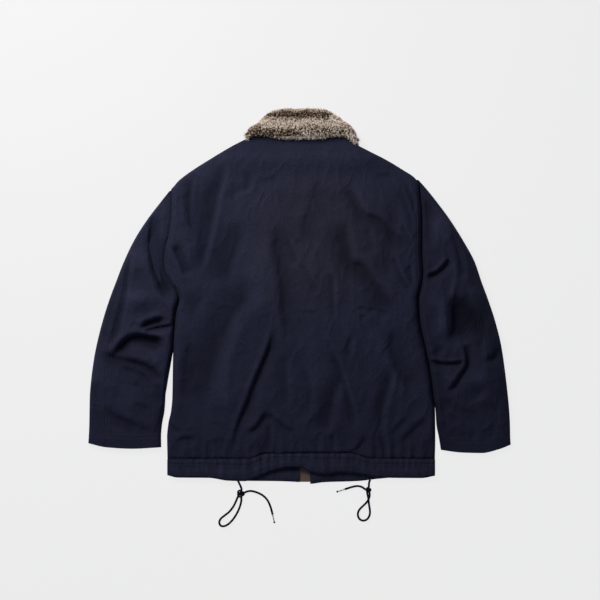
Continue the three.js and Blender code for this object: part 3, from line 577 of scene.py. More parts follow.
def folds_of(text):
    """(width, depth, ridge, line) of each row: width depth ridge, then x y pairs."""
    rows = []
    for line in text.strip().splitlines():
        width, depth, ridge, *pairs = map(float, line.split())
        rows.append((width, depth, ridge, through(np.reshape(pairs, (-1, 2)), 9)))
    return rows


def fold_height(rows, x, y, hollow):
    """Height that folds add at the points x, y; hollow is the share of the wide hollow."""
    total = np.zeros_like(x)
    for width, depth, ridge, line in rows:
        reach = 8 * width
        low, high = line.min(0) - reach, line.max(0) + reach
        near = (x > low[0]) & (x < high[0]) & (y > low[1]) & (y < high[1])
        spot = np.stack([x[near], y[near]], 1)
        best = np.full(len(spot), np.inf)
        side, along = np.zeros(len(spot)), np.zeros(len(spot))
        for k, (a, b) in enumerate(zip(line, line[1:])):
            way = b - a
            share = np.clip((spot - a) @ way / (way @ way), 0, 1)
            off = spot - a - share[:, None] * way
            distance = np.hypot(off[:, 0], off[:, 1])
            closer = distance < best
            best[closer] = distance[closer]
            side[closer] = np.sign(way[0] * off[closer, 1] - way[1] * off[closer, 0])
            along[closer] = (k + share[closer]) / (len(line) - 1)
        signed = best * side / width * (np.sign(ridge) or 1)
        slow, steep = (SLOW_SIDE, STEEP_SIDE) if ridge else (EVEN_SIDE, EVEN_SIDE)
        trough = bell(signed / np.where(signed < 0, slow, steep), 0, 1)
        crest = abs(ridge) * bell(signed, CREST_AT, CREST_WIDTH)
        wide = hollow * bell(signed, 0, HOLLOW_WIDTH) * (ridge != 0)
        fade = np.clip(3 * width / lengths_along(line)[-1], 0.2, 0.5)
        alive = smooth(0, fade, along) * smooth(1, 1 - fade, along)
        total[near] -= depth * alive * (trough + wide - crest)
    return total


def relief_of(make, x, y, size, seed, stretch):
    """Values of a noise function on the cloth, for forms about size mm across."""
    flat = np.stack([x.ravel() * stretch[0], y.ravel() * stretch[1]], 1) / size
    return np.reshape([make(Vector((a, b, seed))) for a, b in flat], x.shape)


def rumple(x, y, size, seed, stretch=(1, 1)):
    """Soft uneven relief from -1 to 1."""
    return relief_of(lambda at: noise.fractal(at, 0.9, 2.1, 3), x, y, size, seed, stretch)


def wrinkle(x, y, size, seed):
    """Little sharp creases that run every way and mostly down."""
    return relief_of(lambda at: noise.ridged_multi_fractal(at, 0.9, 2.1, 2, 0.9, 1.4) - 0.8,
                     x, y, size, seed, (1.3, 0.75))

# %% [markdown]
# ## Shells of cloth
# Each panel is a wall three millimetres thick, because the shell cloth and its backing
# together are. Its upper face is a grid of points and its lower face the same grid, moved
# down; the four edges join them. A panel rounds down at its edges, where it is sewn to
# its neighbour, so between two panels there is a soft groove and no open slit.

# %% Cloth, gaps and the lift at the neck
CLOTH, SEAM_GAP = 3.0, 0.4
LOW_EDGE = CLOTH + 0.3
EDGE_ROLL = 12.0
RIGHT_SLACK = 7.0  # the right side sinks in a wider groove beside its sleeve
WALL_SHARE = 0.8  # most of a narrow rounding that the wall takes up
GROOVE_SHADE = 0.15  # painted shade: share of the fold shading value that is left in the groove at a panel's edge
NECK_LIFT = 9.3


def neck_lift(x, y):
    """The collar's front ends lie under the fronts and lift them at the neck."""
    return NECK_LIFT * (1 - smooth(140, 195, np.abs(x))) * smooth(245, 292, y)


def shell(name, outer, inner, material, fold):
    """A closed wall between two grids of points, rows by columns by 3, in millimetres."""
    outer, inner = (np.stack(np.broadcast_arrays(*grid), -1) for grid in (outer, inner))
    height, width = outer.shape[:2]
    points = np.concatenate([outer.reshape(-1, 3), inner.reshape(-1, 3)])
    below = height * width
    faces = grid_faces(height, width)
    faces += [face[::-1] for face in grid_faces(height, width, start=below)]
    for edge, turn in ((range(width), True), (range(below - width, below), False),
                       (range(0, below, width), False), (range(width - 1, below, width), True)):
        for a, b in zip(edge, edge[1:]):
            face = (a, b, b + below, a + below)
            faces.append(face if turn else face[::-1])
    r, c = height // 2, width // 2
    if np.cross(outer[r + 1, c] - outer[r, c], outer[r, c + 1] - outer[r, c])[2] > 0:
        faces = [face[::-1] for face in faces]
    uv = np.concatenate([outer[..., :2].reshape(-1, 2)] * 2)
    fold = np.concatenate([np.ravel(fold + 0 * outer[..., 0]), np.full(below, 0.4)])
    return piece(name, points, faces, material, uv, sharp=60, fold=fold)


def as_fold(height, depth=11.0):
    """Height over the plain cloth as the value that paints shade and light: 0, darkest, in
    creases, to 1, palest, on crowns.
    """
    return np.clip(0.5 + height / depth * 0.5, 0, 1)


# %% [markdown]
# ## Back
# The back is one large panel. Its sides follow the pattern's outline row by row; its upper
# face is crowned, because there are two layers and their lining below it. A grid is used
# and no cloth simulation, so that every fold lies where the real one does.

# %% Pattern of the body
BODY = rows_of("""y left right left_rise right_rise crown
342 -80 80 1.5 1.5 8.8
325 -120.5 106 1.5 1.5 9.4
305 -158 143.5 1.5 1.5 11.5
285 -192 184 1.5 1.5 14.5
262 -228 222 0.9 0.9 17
252 -241.8 237.6 0.7 0.85 18
242 -254 247 0.6 0.8 19
232 -262.5 250.8 0.6 1 20
222 -270 251.6 1 2 21
210 -269 252.6 5 2 21.5
180 -268.7 255.5 10 2 23
142 -272 257 13 2 24.5
94 -282.5 257 13 2 25
72 -284.5 258 13 2 25
50 -281 259 12 2 25
30 -270 257 10 2 25
12 -258 253 7 1 25
-6 -253 250 3 0 25
-28 -259 251 0 0 25
-52 -262 252.8 0 0 25
-104 -265 264 0 0 24
-156 -266 274.3 0 0 23
-212 -267 281 0 0 21
-240 -269.5 284.4 0 0 19
-268 -275.5 284.8 0 0 17
-296 -278 285 0 0 14.5
-341 -277 284 0 0 10
""")
HEM_SEAM = rows_of("""x y
-277 -341
-114 -341
-66 -330
40 -329
105 -329
150 -340
284 -341
""")
hem_seam = columns(HEM_SEAM)["y"]
NECK_Y, NECK_LEFT_Y, NECK_RIGHT_Y, NECK_DIP = 342, 345, 339, 6
HEM_Y, HEM_FROM = BODY[-1].y, -296  # rows bend to the hem's line from HEM_FROM down
body = columns(BODY)


def neck_seam(share):
    """Height on the table of the neck seam, share of the way from left to right."""
    return mix(NECK_LEFT_Y, NECK_RIGHT_Y, share) - NECK_DIP * 4 * share * (1 - share)


def fitted(nominal, share, hem):
    """Rows that are straight in the middle and follow the neck and the hem at the ends."""
    neck_zone = np.clip((nominal - 325) / (NECK_Y - 325), 0, 1)
    hem_zone = np.clip((HEM_FROM - nominal) / (HEM_FROM - HEM_Y), 0, 1)
    return (nominal + (neck_seam(share) - NECK_Y) * neck_zone
            + (hem + SEAM_GAP - HEM_Y) * hem_zone)


def hem_rise(x):
    """The middle of the back's hem stands up over the fronts' overlap."""
    return 2.6 * smooth(-90, -20, x) * (1 - smooth(90, 150, x))


def across_grid(x0, x1, roll0, roll1, middle, start=0.0, steps=6):
    """x and edge weight of a grid; each end rounds over its roll, the middle is even."""
    way = np.sign(x1 - x0)
    first = np.linspace(start, math.pi / 2, steps + 1)[None, :]
    last = np.linspace(math.pi / 2, 0, steps + 1)[None, :]
    share = np.linspace(0, 1, middle + 1)[None, 1:-1]
    parts = [x0 + way * roll0 * (1 - np.cos(first)),
             mix(x0 + way * roll0, x1 - way * roll1, share),
             x1 - way * roll1 * (1 - np.cos(last))]
    weights = [np.sin(first) + 0 * parts[0], 1 + 0 * parts[1], np.sin(last) + 0 * parts[2]]
    wall = np.minimum(CLOTH, WALL_SHARE * np.concatenate([roll0, roll1], 1))
    inner = [x0 + way * mix(wall[:, :1], roll0, 1 - np.cos(first)), parts[1],
             x1 - way * mix(wall[:, 1:], roll1, 1 - np.cos(last))]
    return [np.concatenate(group, 1) for group in (parts, weights, inner)]


# %% Folds of the back
BACK_FOLDS = folds_of("""
8 6.5 0.35 -156 290 -160 268 -165 241 -175 207 -181 174 -188 140 -196 103 -205 69 -216 34
5 4 0.35 -226 246 -229 205 -229 160
6 3 0.3 -106 264 -104 236 -112 223 -132 218 -142 194
6 2 0.3 -92 240 -66 242 -40 248
15 5.5 0.2 -118 160 -134 105 -148 60 -158 10
11 4.5 -0.35 -44 158 -46 96 -36 40 -28 -40 -24 -105
20 -4.5 0 -66 130 -80 60 -80 0 -66 -70
18 5.6 0.35 -96 36 -118 -6 -146 -45 -166 -90 -184 -145 -194 -196 -200 -250
9 -2.6 0 -118 -36 -134 -104 -146 -141 -150 -196 -140 -250
4 2.6 0.4 -24 118 -14 92 -2 64
6 6.8 -0.4 -50 -60 -62 -107 -77 -144 -95 -188 -110 -229 -124 -262 -132 -288 -137 -317 -139 -340
6 6 -0.4 -68 -238 -77 -258 -91 -277 -112 -289
6 4 0.4 -66 -240 -54 -258 -26 -279 -6 -284
7 3 0.3 -26 -118 -29 -177 -22 -238
4.5 6 0.4 -62 -262 -62 -310 -68 -338 -74 -356
6 5 0.4 -264 -309 -242 -299 -213 -302
5 3.5 0.35 -272 -264 -258 -280 -245 -292
4 4 0.4 -171 -296 -172 -330 -173 -348
4 3 0.4 -158 -290 -162 -330
5 4.5 0.4 66 -110 80 -142 90 -170 101 -203 108 -229 115 -258 119 -284
11 6 0.25 82 -160 78 -190 69 -214 60 -258 46 -302
5 3 0.4 110 -84 107 -105 104 -135
7 5 0.3 198 -146 185 -192 174 -236 171 -280 174 -310 180 -345
12 5 -0.3 186 -64 200 -126 218 -170 248 -206
11 7 0.3 93 165 95 140 98 110 108 70 131 59 148 36 168 9 188 -18 195 -50
8 5 0.35 98 240 114 204 135 170 168 157 195 130 215 113 238 88
3.5 2.2 0.4 208 228 222 200 232 168 239 142
3.5 2.2 0.4 222 240 236 205 241 172
3.5 2.6 0.4 213 150 226 128 239 102
6 1.8 0.35 144 150 150 118 158 84
4 3 0.4 194 86 208 56 218 34 236 6
4 3 0.4 228 68 234 44 240 14
4 2.6 0.4 0 72 24 36 41 2
3.5 1.8 0.4 -6 122 6 104
5 1.5 0.3 -12 -30 18 -34 44 -36
5 3 0.35 70 52 71 0 71 -54
4 2.6 0.4 119 -30 130 -24 142 -31
4 2.2 0.4 138 -33 152 -27 166 -35
4 2.4 0.4 160 -26 176 -33 190 -38
4 2 0.4 122 -44 140 -42
4 2 0.3 160 258 178 250 192 262
7 3.8 -0.35 270 -255 248 -273 226 -295 207 -313
6 3 -0.35 229 -251 211 -269 189 -296
5 3 -0.35 281 -294 266 -314
5 5.5 0.3 58 -331 100 -329 120 -320 131 -306 134 -286
4.5 4 0.3 -20 -334 20 -333 58 -331
4 5 0.4 70 -286 72 -321 73 -345
4 3 0.4 178 -292 180 -345
6 7.5 -0.25 -266 108 -257 92 -248 72 -240 54 -234 36
4 3 -0.3 -234 172 -229 150 -223 136
14 4 0.2 -206 20 -214 -20 -238 -60
16 3.6 0.2 -176 250 -196 200 -206 150 -214 96
12 3 -0.2 40 250 30 200 14 150 10 96
14 3.4 0.2 206 200 196 140 186 84 180 20
10 3 -0.25 -230 -90 -236 -150 -240 -230
9 3 0.3 12 -150 22 -200 16 -262
""")
BACK_ROWS, BACK_COLUMNS = 216, 172
SEAM_REACH = 2.6  # how far the cloth sinks towards the hem seam


# %% Make the back
def body_heights(x, y, nominal, share):
    """Upper face of the back, and the relief that sets its painted shade and light, with extra
    painted shade along the hem seam.
    """
    crown = body["crown"](nominal)
    loose = np.clip((crown - 7.2) / 12.8, 0, 1)
    relief = loose * (fold_height(BACK_FOLDS, x, y, 0.12) + 1.6 * rumple(x, y, 95, 3.0, (1.3, 0.8))
                      + 0.9 * rumple(x, y, 34, 6.0, (1.2, 0.6))
                      + mix(0.35, 1.0, smooth(190, -40, y)) * wrinkle(x, y, 70, 21.0)
                      * np.clip(0.75 + 0.9 * rumple(x, y, 110, 14.0), 0, 1.3))
    gathers = rumple(x, y, 11, 8.0, (1, 0.12)) + 0.5 * np.sin(x / 4.1 + 2 * np.sin(x / 31))
    relief = relief + 1.9 * smooth(-282, -338, nominal) * gathers
    arch = smooth(8.8, 17, crown) * 3.0 * np.sin(math.pi * share)
    rise = hem_rise(x) * smooth(HEM_FROM, HEM_Y, nominal)
    sewn = bell(y, hem_seam(x), SEAM_REACH) * (0.75 + 0.6 * rumple(x, 0 * x, 30, 5.0))
    relief = relief - 3 * sewn
    # The second value sinks more at the hem seam than the cloth does: painted shade along the
    # seam.
    return crown + arch + relief + rise + neck_lift(x, y), relief - 4 * sewn


nominal = np.linspace(NECK_Y, HEM_Y, BACK_ROWS)[:, None]
x0, x1 = body["left"](nominal), body["right"](nominal)
slack = smooth(200, 130, nominal) * smooth(-230, -150, nominal)
x, weight, x_inner = across_grid(x0, x1, EDGE_ROLL + 0 * x0, EDGE_ROLL + RIGHT_SLACK * slack,
                                 BACK_COLUMNS)
share = (x - x0) / (x1 - x0)
y = fitted(nominal, share, hem_seam(x))
top, relief = body_heights(x, y, nominal, share)
left_edge = LOW_EDGE + body["left_rise"](nominal) + neck_lift(x0, y[:, :1])
right_edge = LOW_EDGE + body["right_rise"](nominal) + neck_lift(x1, y[:, -1:])
edge = np.where(share < 0.5, left_edge, right_edge)
# The fold shading value paints shade into creases, the hem seam and the rounded edges, and light
# onto ridges.
back = keep(shell("back_cloth", (x, y, mix(edge, top, weight)),
                  (x_inner, y, mix(edge, np.maximum(top - CLOTH, edge), weight)), jungle_cloth,
                  as_fold(relief) * mix(GROOVE_SHADE, 1, weight)), "navy_cloth", "back")

# %% [markdown]
# ## Sleeves
# A sleeve is a tube of two pieces that has been pressed flat: the under sleeve is the face
# seen here, the top sleeve shows as a strip outside the outer seam, turns in at the
# outline and lies on the table. Both are shells made from one table, so that they meet at
# the seam all the way.

# %% Pattern of the sleeves
SLEEVE_LEFT = rows_of("""y outer seam crown apart
221 -272.4 0.8 11.4 -1.2
210 -281.5 3 12 -1.2
196 -292.5 6 14.5 -1.2
162 -318.5 7 18 -1.2
118 -346.5 8 22 -1.2
72 -368.5 10 25 -1.2
30 -385 18 26 -1.2
-6 -398.5 25 27 -1.2
-52 -413 26 28 -1.2
-104 -426 27 27 -1.2
-130 -431 28 26 2.5
-184 -438 30 24 11
-212 -440 32 21 14.5
-268 -441 33 15 13
-312 -443 34 9 12.5
""")
SLEEVE_RIGHT = rows_of("""y outer seam crown apart
244 249.4 0.8 8.2 -1.2
238 254.8 1.4 8.6 -1.2
232 260.3 2.4 9 -1.2
222 268.8 4.5 12 -1.2
196 289.5 8 17 -1.2
162 314.5 9 20 -1.2
118 342.5 11 23 -1.2
72 367.5 16 25 -1.2
30 382 22 26 -1.2
-6 395.3 26 27 -1.2
-52 410.5 30 27 -1.2
-104 423.3 34 27 -1.2
-156 431 36 25 -1.2
-212 437.5 31 21 -1.2
-240 440 29 18 1
-268 441.5 28 15 2.5
-296 442 28 11 7.5
-318 443 28 9 12
""")
CUFF_LEFT = rows_of("""across y
0 -308
0.25 -316.5
0.6 -319.5
1 -316.5
""")
CUFF_RIGHT = rows_of("""across y
0 -311
0.16 -320
0.42 -328.5
0.7 -327.5
1 -322
""")
LEFT_FOLDS = folds_of("""
9 11 -0.3 -304 184 -309 146 -311 112 -306 82 -296 42 -284 8 -268 -14
4 4 0.3 -300 128 -298 100 -296 70 -300 40
3 2 0.3 -322 148 -322 120 -320 96
6 -3.2 0 -281 196 -287 140 -294 95 -290 55 -274 16
14 -5.4 0 -340 110 -342 70 -334 30
6 4.6 0.4 -354 96 -358 50 -364 4 -374 -41 -386 -87 -400 -112
5 3.6 0.35 -370 44 -382 10 -396 -40 -412 -108
8 -2.4 0 -346 40 -350 -10 -354 -50 -370 -84
7 8 0.5 -333 -77 -325 -64 -314 -57 -298 -51 -276 -49
3.5 5 0.45 -327 -73 -308 -69 -290 -65 -262 -60
8 9.5 0.45 -392 -132 -370 -103 -352 -89 -330 -85 -303 -90 -276 -98
10 5.4 0.2 -352 -98 -326 -96 -296 -102 -276 -112
6 -3 0 -366 -114 -336 -108 -306 -122 -288 -150
9 7 0.35 -416 -118 -388 -130 -360 -137 -331 -144 -306 -157 -284 -186
5 2.6 0.3 -378 -150 -350 -156 -322 -170 -300 -200
4 2.4 0.35 -340 -176 -334 -200
9 6.2 0.35 -414 -232 -380 -256 -343 -273 -304 -288
6 3 -0.3 -404 -262 -372 -278 -340 -290
6 5 -0.3 -286 -226 -292 -262 -306 -298
5 4.4 0.35 -292 -178 -289 -208 -284 -230
9 3.5 0.3 -428 -170 -424 -226 -426 -280
5 2.2 0.35 -352 -226 -330 -230 -308 -240
16 -6.8 0 -330 20 -336 -10 -334 -36
14 -4.6 0 -316 -236 -350 -224 -384 -214
""")
RIGHT_FOLDS = folds_of("""
8 5 -0.25 266 214 268 170 266 130 262 96
20 -6.8 0 292 190 300 140 300 96
7 3.4 -0.4 312 150 328 112 336 74 342 32
4.5 6 0.6 262 40 276 44 288 49 301 61 316 80
5 -2.6 0 318 76 326 50 322 20 314 -10
14 -6.2 0 290 14 296 -40 290 -96
11 6.8 -0.3 320 4 325 -34 325 -66 314 -104
26 11.5 0 360 10 360 -50 368 -104
7 3 0.3 300 -96 296 -114 280 -128
4 5.6 0.5 266 -135 290 -139 311 -141 346 -137
5 6 -0.45 341 -96 351 -124 350 -146 334 -170 310 -204
14 -6.2 0 366 -150 380 -176 374 -206
12 -4.1 0 314 -156 318 -176 306 -190
6 4.4 0.35 384 -142 402 -128 416 -112 430 -88
6 3.4 0.3 398 -52 404 -84 412 -106 408 -150
7 3 0.3 380 -40 384 -80 376 -118
8 3.4 0.35 296 -208 322 -230 348 -243 384 -250
5 2.6 0.3 292 -226 318 -252 340 -266
7 4.8 0.35 406 -214 411 -256 405 -288 376 -308
6 2.8 0.3 298 -236 306 -268 306 -290
8 3 0.3 286 -10 288 -50 284 -88
8 2.8 0.3 388 -180 374 -208 350 -224
6 2.6 0.4 424 -190 420 -218 422 -250
7 2.4 0.35 326 -286 350 -292 380 -286
5 2.2 0.3 356 96 364 50 366 10
""")
SEAM_SHARE = 0.8  # of the way that the outer edge rounds down, the part above the seam
SEAM_ANGLE = math.acos(1 - SEAM_SHARE)
LOW_TURN = 5.0  # radius at which the top sleeve turns in to the table
BACK_SHADOW_TONE = {"left": 0.85, "right": 0.42}  # painted shadow of the back on the sleeve: tone left in the cloth beside the back's edge
BACK_SHADOW_WIDTH = 30
SLEEVES = {"left": (-1, SLEEVE_LEFT, columns(CUFF_LEFT)["y"], LEFT_FOLDS),
           "right": (1, SLEEVE_RIGHT, columns(CUFF_RIGHT)["y"], RIGHT_FOLDS)}


def sleeve(side):
    """Makes both pieces of a sleeve."""
    out, rows, cuff, folds = SLEEVES[side]
    read = columns(rows)
    low = rows[-1].y
    full = max(row.crown for row in rows)
    nominal = np.linspace(rows[0].y, low, 190)[:, None]
    x0 = read["outer"](nominal)
    x1 = body[side](nominal) + out * read["apart"](nominal)
    at_cuff = np.clip((HEM_FROM - nominal) / (HEM_FROM - low), 0, 1)

    def place(x):
        return nominal + at_cuff * (cuff((x - x0) / (x1 - x0)) - low)

    def top(x, y):
        crown = read["crown"](nominal)
        relief = (fold_height(folds, x, y, 0.25) + 1.2 * rumple(x, y, 60, out * 5.0)
                  + 0.7 * rumple(x, y, 24, out * 9.0, (1.2, 0.7))
                  + 1.5 * wrinkle(x, y, 52, 30.0 + out))
        relief = (relief * np.clip((crown - 5.5) / (full - 5.5), 0, 1)
                  * (1 - 0.35 * smooth(-286, -300, nominal)))
        return crown + relief, relief

    roll0 = read["seam"](nominal) / SEAM_SHARE
    roll1 = np.minimum(EDGE_ROLL, (np.abs(x1 - x0) - roll0) * 0.5)
    x, weight, x_inner = across_grid(x0 - out * SEAM_GAP, x1, roll0, roll1, 52, SEAM_ANGLE)
    y = place(x)
    height, relief = top(x, y)
    outer_half = (x - x0) / (x1 - x0) < 0.5
    edge = np.where(outer_half, LOW_TURN, LOW_EDGE + body[f"{side}_rise"](nominal))
    # Painted shade in creases and at the rounded inner edge, and painted shadow where the sleeve
    # lies beside the back's edge.
    fold = (as_fold(relief) * np.where(outer_half, 1, mix(GROOVE_SHADE, 1, weight))
            * mix(BACK_SHADOW_TONE[side], 1, smooth(0, BACK_SHADOW_WIDTH, np.abs(x - x1))))
    under = shell(f"under_sleeve_{side}", (x, y, mix(edge, height, weight)),
                  (x_inner, y, mix(edge, np.maximum(height - CLOTH, edge), weight)),
                  jungle_cloth, fold)

    # From the seam down the outer rounding, in at the outline, and over the table
    down = np.linspace(SEAM_ANGLE, 0, 9)[None, :]
    turn = np.linspace(0, math.pi / 2, 6)[None, 1:]
    flat = np.linspace(0, 1, 16)[None, 1:]
    wall = np.minimum(CLOTH, WALL_SHARE * roll0)
    away, under_away = 1 - np.cos(down), 1 - np.cos(turn)
    lying = mix(x0 - out * LOW_TURN, x1, flat)
    x = np.concatenate([x0 - out * roll0 * away, x0 - out * LOW_TURN * under_away, lying], 1)
    x_inner = np.concatenate([x0 - out * mix(wall, roll0, away),
                              x0 - out * (CLOTH + (LOW_TURN - CLOTH) * under_away), lying], 1)
    y = place(x)
    seen = down.shape[1]
    level, relief = top(x[:, :seen], y[:, :seen])
    drop = np.sin(turn) + 0 * x0
    z = np.concatenate([mix(LOW_TURN, level, np.sin(down)), LOW_TURN * (1 - drop),
                        0 * lying], 1)
    z_inner = np.concatenate([mix(LOW_TURN, np.maximum(level - CLOTH, LOW_TURN), np.sin(down)),
                              LOW_TURN - (LOW_TURN - CLOTH) * drop, 0 * lying + CLOTH], 1)
    fold = np.concatenate([as_fold(relief), 0 * x[:, seen:] + 0.5], 1)
    over = shell(f"top_sleeve_{side}", (x, y, z), (x_inner, y, z_inner), jungle_cloth, fold)
    keep(under, "navy_cloth", f"sleeve_{side}_under")
    keep(over, "navy_cloth", f"sleeve_{side}_top")


for side in SLEEVES:
    sleeve(side)

# %% [markdown]
# ## Fronts and front tape
# The fronts lie under the back and rest flat on the table, the right one over a woven tape
# that backs the opening. Little of them shows: their hem under the back's raised hem, the
# tape between them, and from below their plain cloth. They are made as flat shells.

# %% Woven tape
# Brown cotton twill tape: matt, with a fine herringbone.
TWILL = 1.6  # real lines are 1 mm apart; drawn wider so that they still show
tape_cloth, tree, shader, place = surface("brown herringbone tape", "50443A")
across = add(tree, "ShaderNodeSeparateXYZ", {"Vector": place["Object"]}).outputs
slant = calc(tree, "ADD", calc(tree, "PINGPONG", across["X"], 0.006), across["Y"])
twill = add(tree, "ShaderNodeTexWave", {"Vector": xyz(tree, X=slant),
                                        "Scale": WAVE / (TWILL * MM)}).outputs["Fac"]
coat(tree, shader, ramp(tree, twill, (0, "45362F"), (1, "77645A")), 0.85, 0.15,
     Normal=bumped(tree, twill, 0.4, 0.0003))

# %% Make the fronts
FRONT_SEAM_Y = -346.0
LAP_HEIGHT, LAP_FULL, LAP_NONE = 1.8, 42.0, 64.0
OPENING = {"left": -0.4, "right": 22.5}


def lap_lift(x, side):
    """The right front stands over the tape and comes down beside it."""
    return LAP_HEIGHT * (1 - smooth(LAP_FULL, LAP_NONE, x)) * (side == "right")


for side in SLEEVES:
    nominal = np.linspace(NECK_Y, HEM_Y, 150)[:, None]
    left, right = body["left"](nominal), body["right"](nominal)
    x = mix(OPENING[side], left if side == "left" else right, np.linspace(0, 1, 34)[None, :])
    y = fitted(nominal, (x - left) / (right - left), FRONT_SEAM_Y)
    low = neck_lift(x, y) + lap_lift(x, side)
    keep(shell(f"front_cloth_{side}", (x, y, low + CLOTH), (x, y, low), jungle_cloth, 0.45),
         "navy_cloth", f"front_{side}")

TAPE_LEFT, TAPE_RIGHT, TAPE_THICK, TAPE_HEM = -1.6, 34.0, 1.5, -389.5
y = np.linspace(neck_seam((TAPE_RIGHT + 80) / 160) - 8, TAPE_HEM, 180)[:, None]
x = np.linspace(TAPE_LEFT, TAPE_RIGHT, 12)[None, :]
low = neck_lift(x, y)
hump = np.where(np.minimum(x - TAPE_LEFT, TAPE_RIGHT - x) < 1, 0.45, TAPE_THICK)
keep(shell("front_tape_weave", (x, y, low + hump), (x, y, low), tape_cloth, 0.5),
     "woven_tape", "front_tape")

# %% [markdown]
# ## Hem casings
# A casing is a band folded double that carries the drawcord. Its section is one closed
# curve that is drawn along the hem. The drawcord has gathered it, so that its upper face
# is rippled across: strongly at the seam, less at the free edge.

# %% Patterns of the casings
CASING = rows_of("""across up
0 0.14
0 0.55
0.1 1
0.55 1.06
0.88 0.95
0.97 0.66
1 0.46
0.97 0.12
0.88 0
0.05 0
""")
HEM_EDGE = rows_of("""x y
-277 -375
-255 -380
-190 -380.6
-150 -386.4
-115 -387.5
-92 -380
-58 -366
-20 -358
3 -359
25 -368.5
50 -372.5
86 -368.5
138 -374.5
165 -380
255 -381
284 -376
""")
FRONT_EDGE = rows_of("""x y
-277 -373
-190 -379
-150 -384.2
-120 -387.3
-50 -387.9
-0.4 -390
22.5 -393.4
50 -390.2
120 -387.9
165 -383
210 -379
284 -374
""")
hem_edge, front_edge = columns(HEM_EDGE)["y"], columns(FRONT_EDGE)["y"]
FRONT_CASING, BACK_CASING = 4.5, 6.5
BACK_CASING_BASE = FRONT_CASING + 0.6
FACE_FROM = 0.7  # the section's upper face lies above this share of its height


def casing(side, x, seam, free, base, thick, gather, seed):
    """A closed band along x. seam and free are its edges, base the height it lies at."""
    corner = [(row.across, row.up) for row in CASING]
    outline = through(corner[:7], 0.05).tolist() + through(corner[6:], 0.08).tolist()[1:]
    across, up = np.array(outline).T[:, None, :]
    x, seam, free, base = (np.reshape(part + 0 * x, (-1, 1)) for part in (x, seam, free, base))
    x = x + 0 * across
    face = up > FACE_FROM
    pleat = rumple(x, 40 * across + 0 * x, 8, seed, (1, 0.16))
    wave = np.sin(x / 3.3 + 2.2 * np.sin(x / 27 + seed)) * (0.5 + 0.5 * np.sin(x / 61 + seed))
    ripple = gather * (0.8 * pleat + 0.4 * wave) * (0.35 + 0.65 * np.clip(1 - across, 0, 1)) * face
    stitched = -0.5 * bell(across, 0.07, 0.03) - 0.4 * bell(across, 0.27, 0.035)
    relief = ripple + (stitched + 0.5 * bell(across, 0.62, 0.2)) * face
    z = base + thick * up + np.where(face, relief - 0.4, 0)
    points = np.stack([x, mix(seam, free, across), z], -1)
    uv = np.stack([x, 36 * across + 0 * x], -1)
    # The fold shading value paints shade into the gathers and stitch grooves and light onto their
    # tops.
    return keep(piece(f"hem_casing_{side}", points.reshape(-1, 3), tube_faces(*x.shape),
                      jungle_cloth, uv.reshape(-1, 2), sharp=60,
                      fold=np.clip(0.45 + relief / 2.6, 0, 1)), "navy_cloth", f"hem_{side}")


# %% Make the casings
x = np.linspace(BODY[-1].left, BODY[-1].right, 300)
hem_back = casing("back", x, hem_seam(x), hem_edge(x), BACK_CASING_BASE + hem_rise(x),
                  BACK_CASING, 1.5, 2.0)
for side in SLEEVES:
    x = np.sort(np.linspace(OPENING[side], getattr(BODY[-1], side), 150))
    casing(f"front_{side}", x, FRONT_SEAM_Y, front_edge(x), lap_lift(x, side), FRONT_CASING,
           0.8, 5.0)

# %% [markdown]
# ## Fur collar
# The collar is a pile fabric: a knitted ground with dense hair, here turned down over the
# back neck. The ground is a copy of the CAD collar, smoothed and drawn in so far that the
# hairs end where the CAD collar does. Values on it steer the hair: where it grows, how
# long it is, which way it is combed, and how pale it is, which carries painted light and
# shade across the roll. The hairs are made by Geometry Nodes, since they are one tapered
# strand repeated many thousand times over a surface.

# %% Ground of the fur
# Knitted ground under pile: matt dark brown, seen only between the hairs.
fur_ground, tree, shader, place = surface("brown knitted pile ground", "4A3D33")
knit = cloudy(tree, place["Object"], 420.0, 4.0)
coat(tree, shader, ramp(tree, knit, (0, "241B15"), (1, "6A5746")), 0.95, 0.1,
     Normal=bumped(tree, knit, 0.8, 0.0015))


# %% Make the ground
def plain_mesh(carrier):
    """The evaluated mesh of an object, which is removed."""
    graph = bpy.context.evaluated_depsgraph_get()
    graph.update()
    made = bpy.data.meshes.new_from_object(carrier.evaluated_get(graph))
    bpy.data.objects.remove(carrier)
    return made


def smoothed_copy(node, levels):
    """Mesh of a CAD node with its triangles joined to quads and subdivided smoothly."""
    work = bmesh.new()
    work.from_mesh(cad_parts[node].data)
    work.transform(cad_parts[node].matrix_world)
    bmesh.ops.remove_doubles(work, verts=work.verts, dist=0.01 * MM)
    bmesh.ops.join_triangles(work, faces=work.faces, angle_face_threshold=0.9,
                             angle_shape_threshold=3.0)
    rough = bpy.data.meshes.new("rough")
    work.to_mesh(rough)
    work.free()
    carrier = placed("carrier", rough)
    modifier = carrier.modifiers.new("smooth", "SUBSURF")
    modifier.levels = modifier.render_levels = levels
    return plain_mesh(carrier)


HAIR_ROOM = 7.0  # drawn in under the upper face
JAW_ROOM = -0.5  # the thin front ends on the table carry shorter hair
TIP_FROM = 104.0  # the left end is blunter than the CAD's from here outwards

fine = smoothed_copy("collar", 2)
count = len(fine.vertices)
spot, normal = np.empty(count * 3), np.empty(count * 3)
fine.vertices.foreach_get("co", spot)
fine.vertex_normals.foreach_get("vector", normal)
spot, normal = spot.reshape(-1, 3) / MM, normal.reshape(-1, 3)
high_up = smooth(8, 21, spot[:, 2])
rim = smooth(0.2, 0.9, np.abs(normal[:, 1])) * smooth(17, 21, spot[:, 2])
spot = spot - normal * (mix(JAW_ROOM, HAIR_ROOM, high_up) + 3.2 * rim)[:, None]
spot[:, 0] += 0.3 * np.clip(-TIP_FROM - spot[:, 0], 0, None)
spot[:, 0] += 1.6 * smooth(84, 108, spot[:, 0])
spot[:, 2] = np.maximum(spot[:, 2], 0)
x, y, z = spot.T

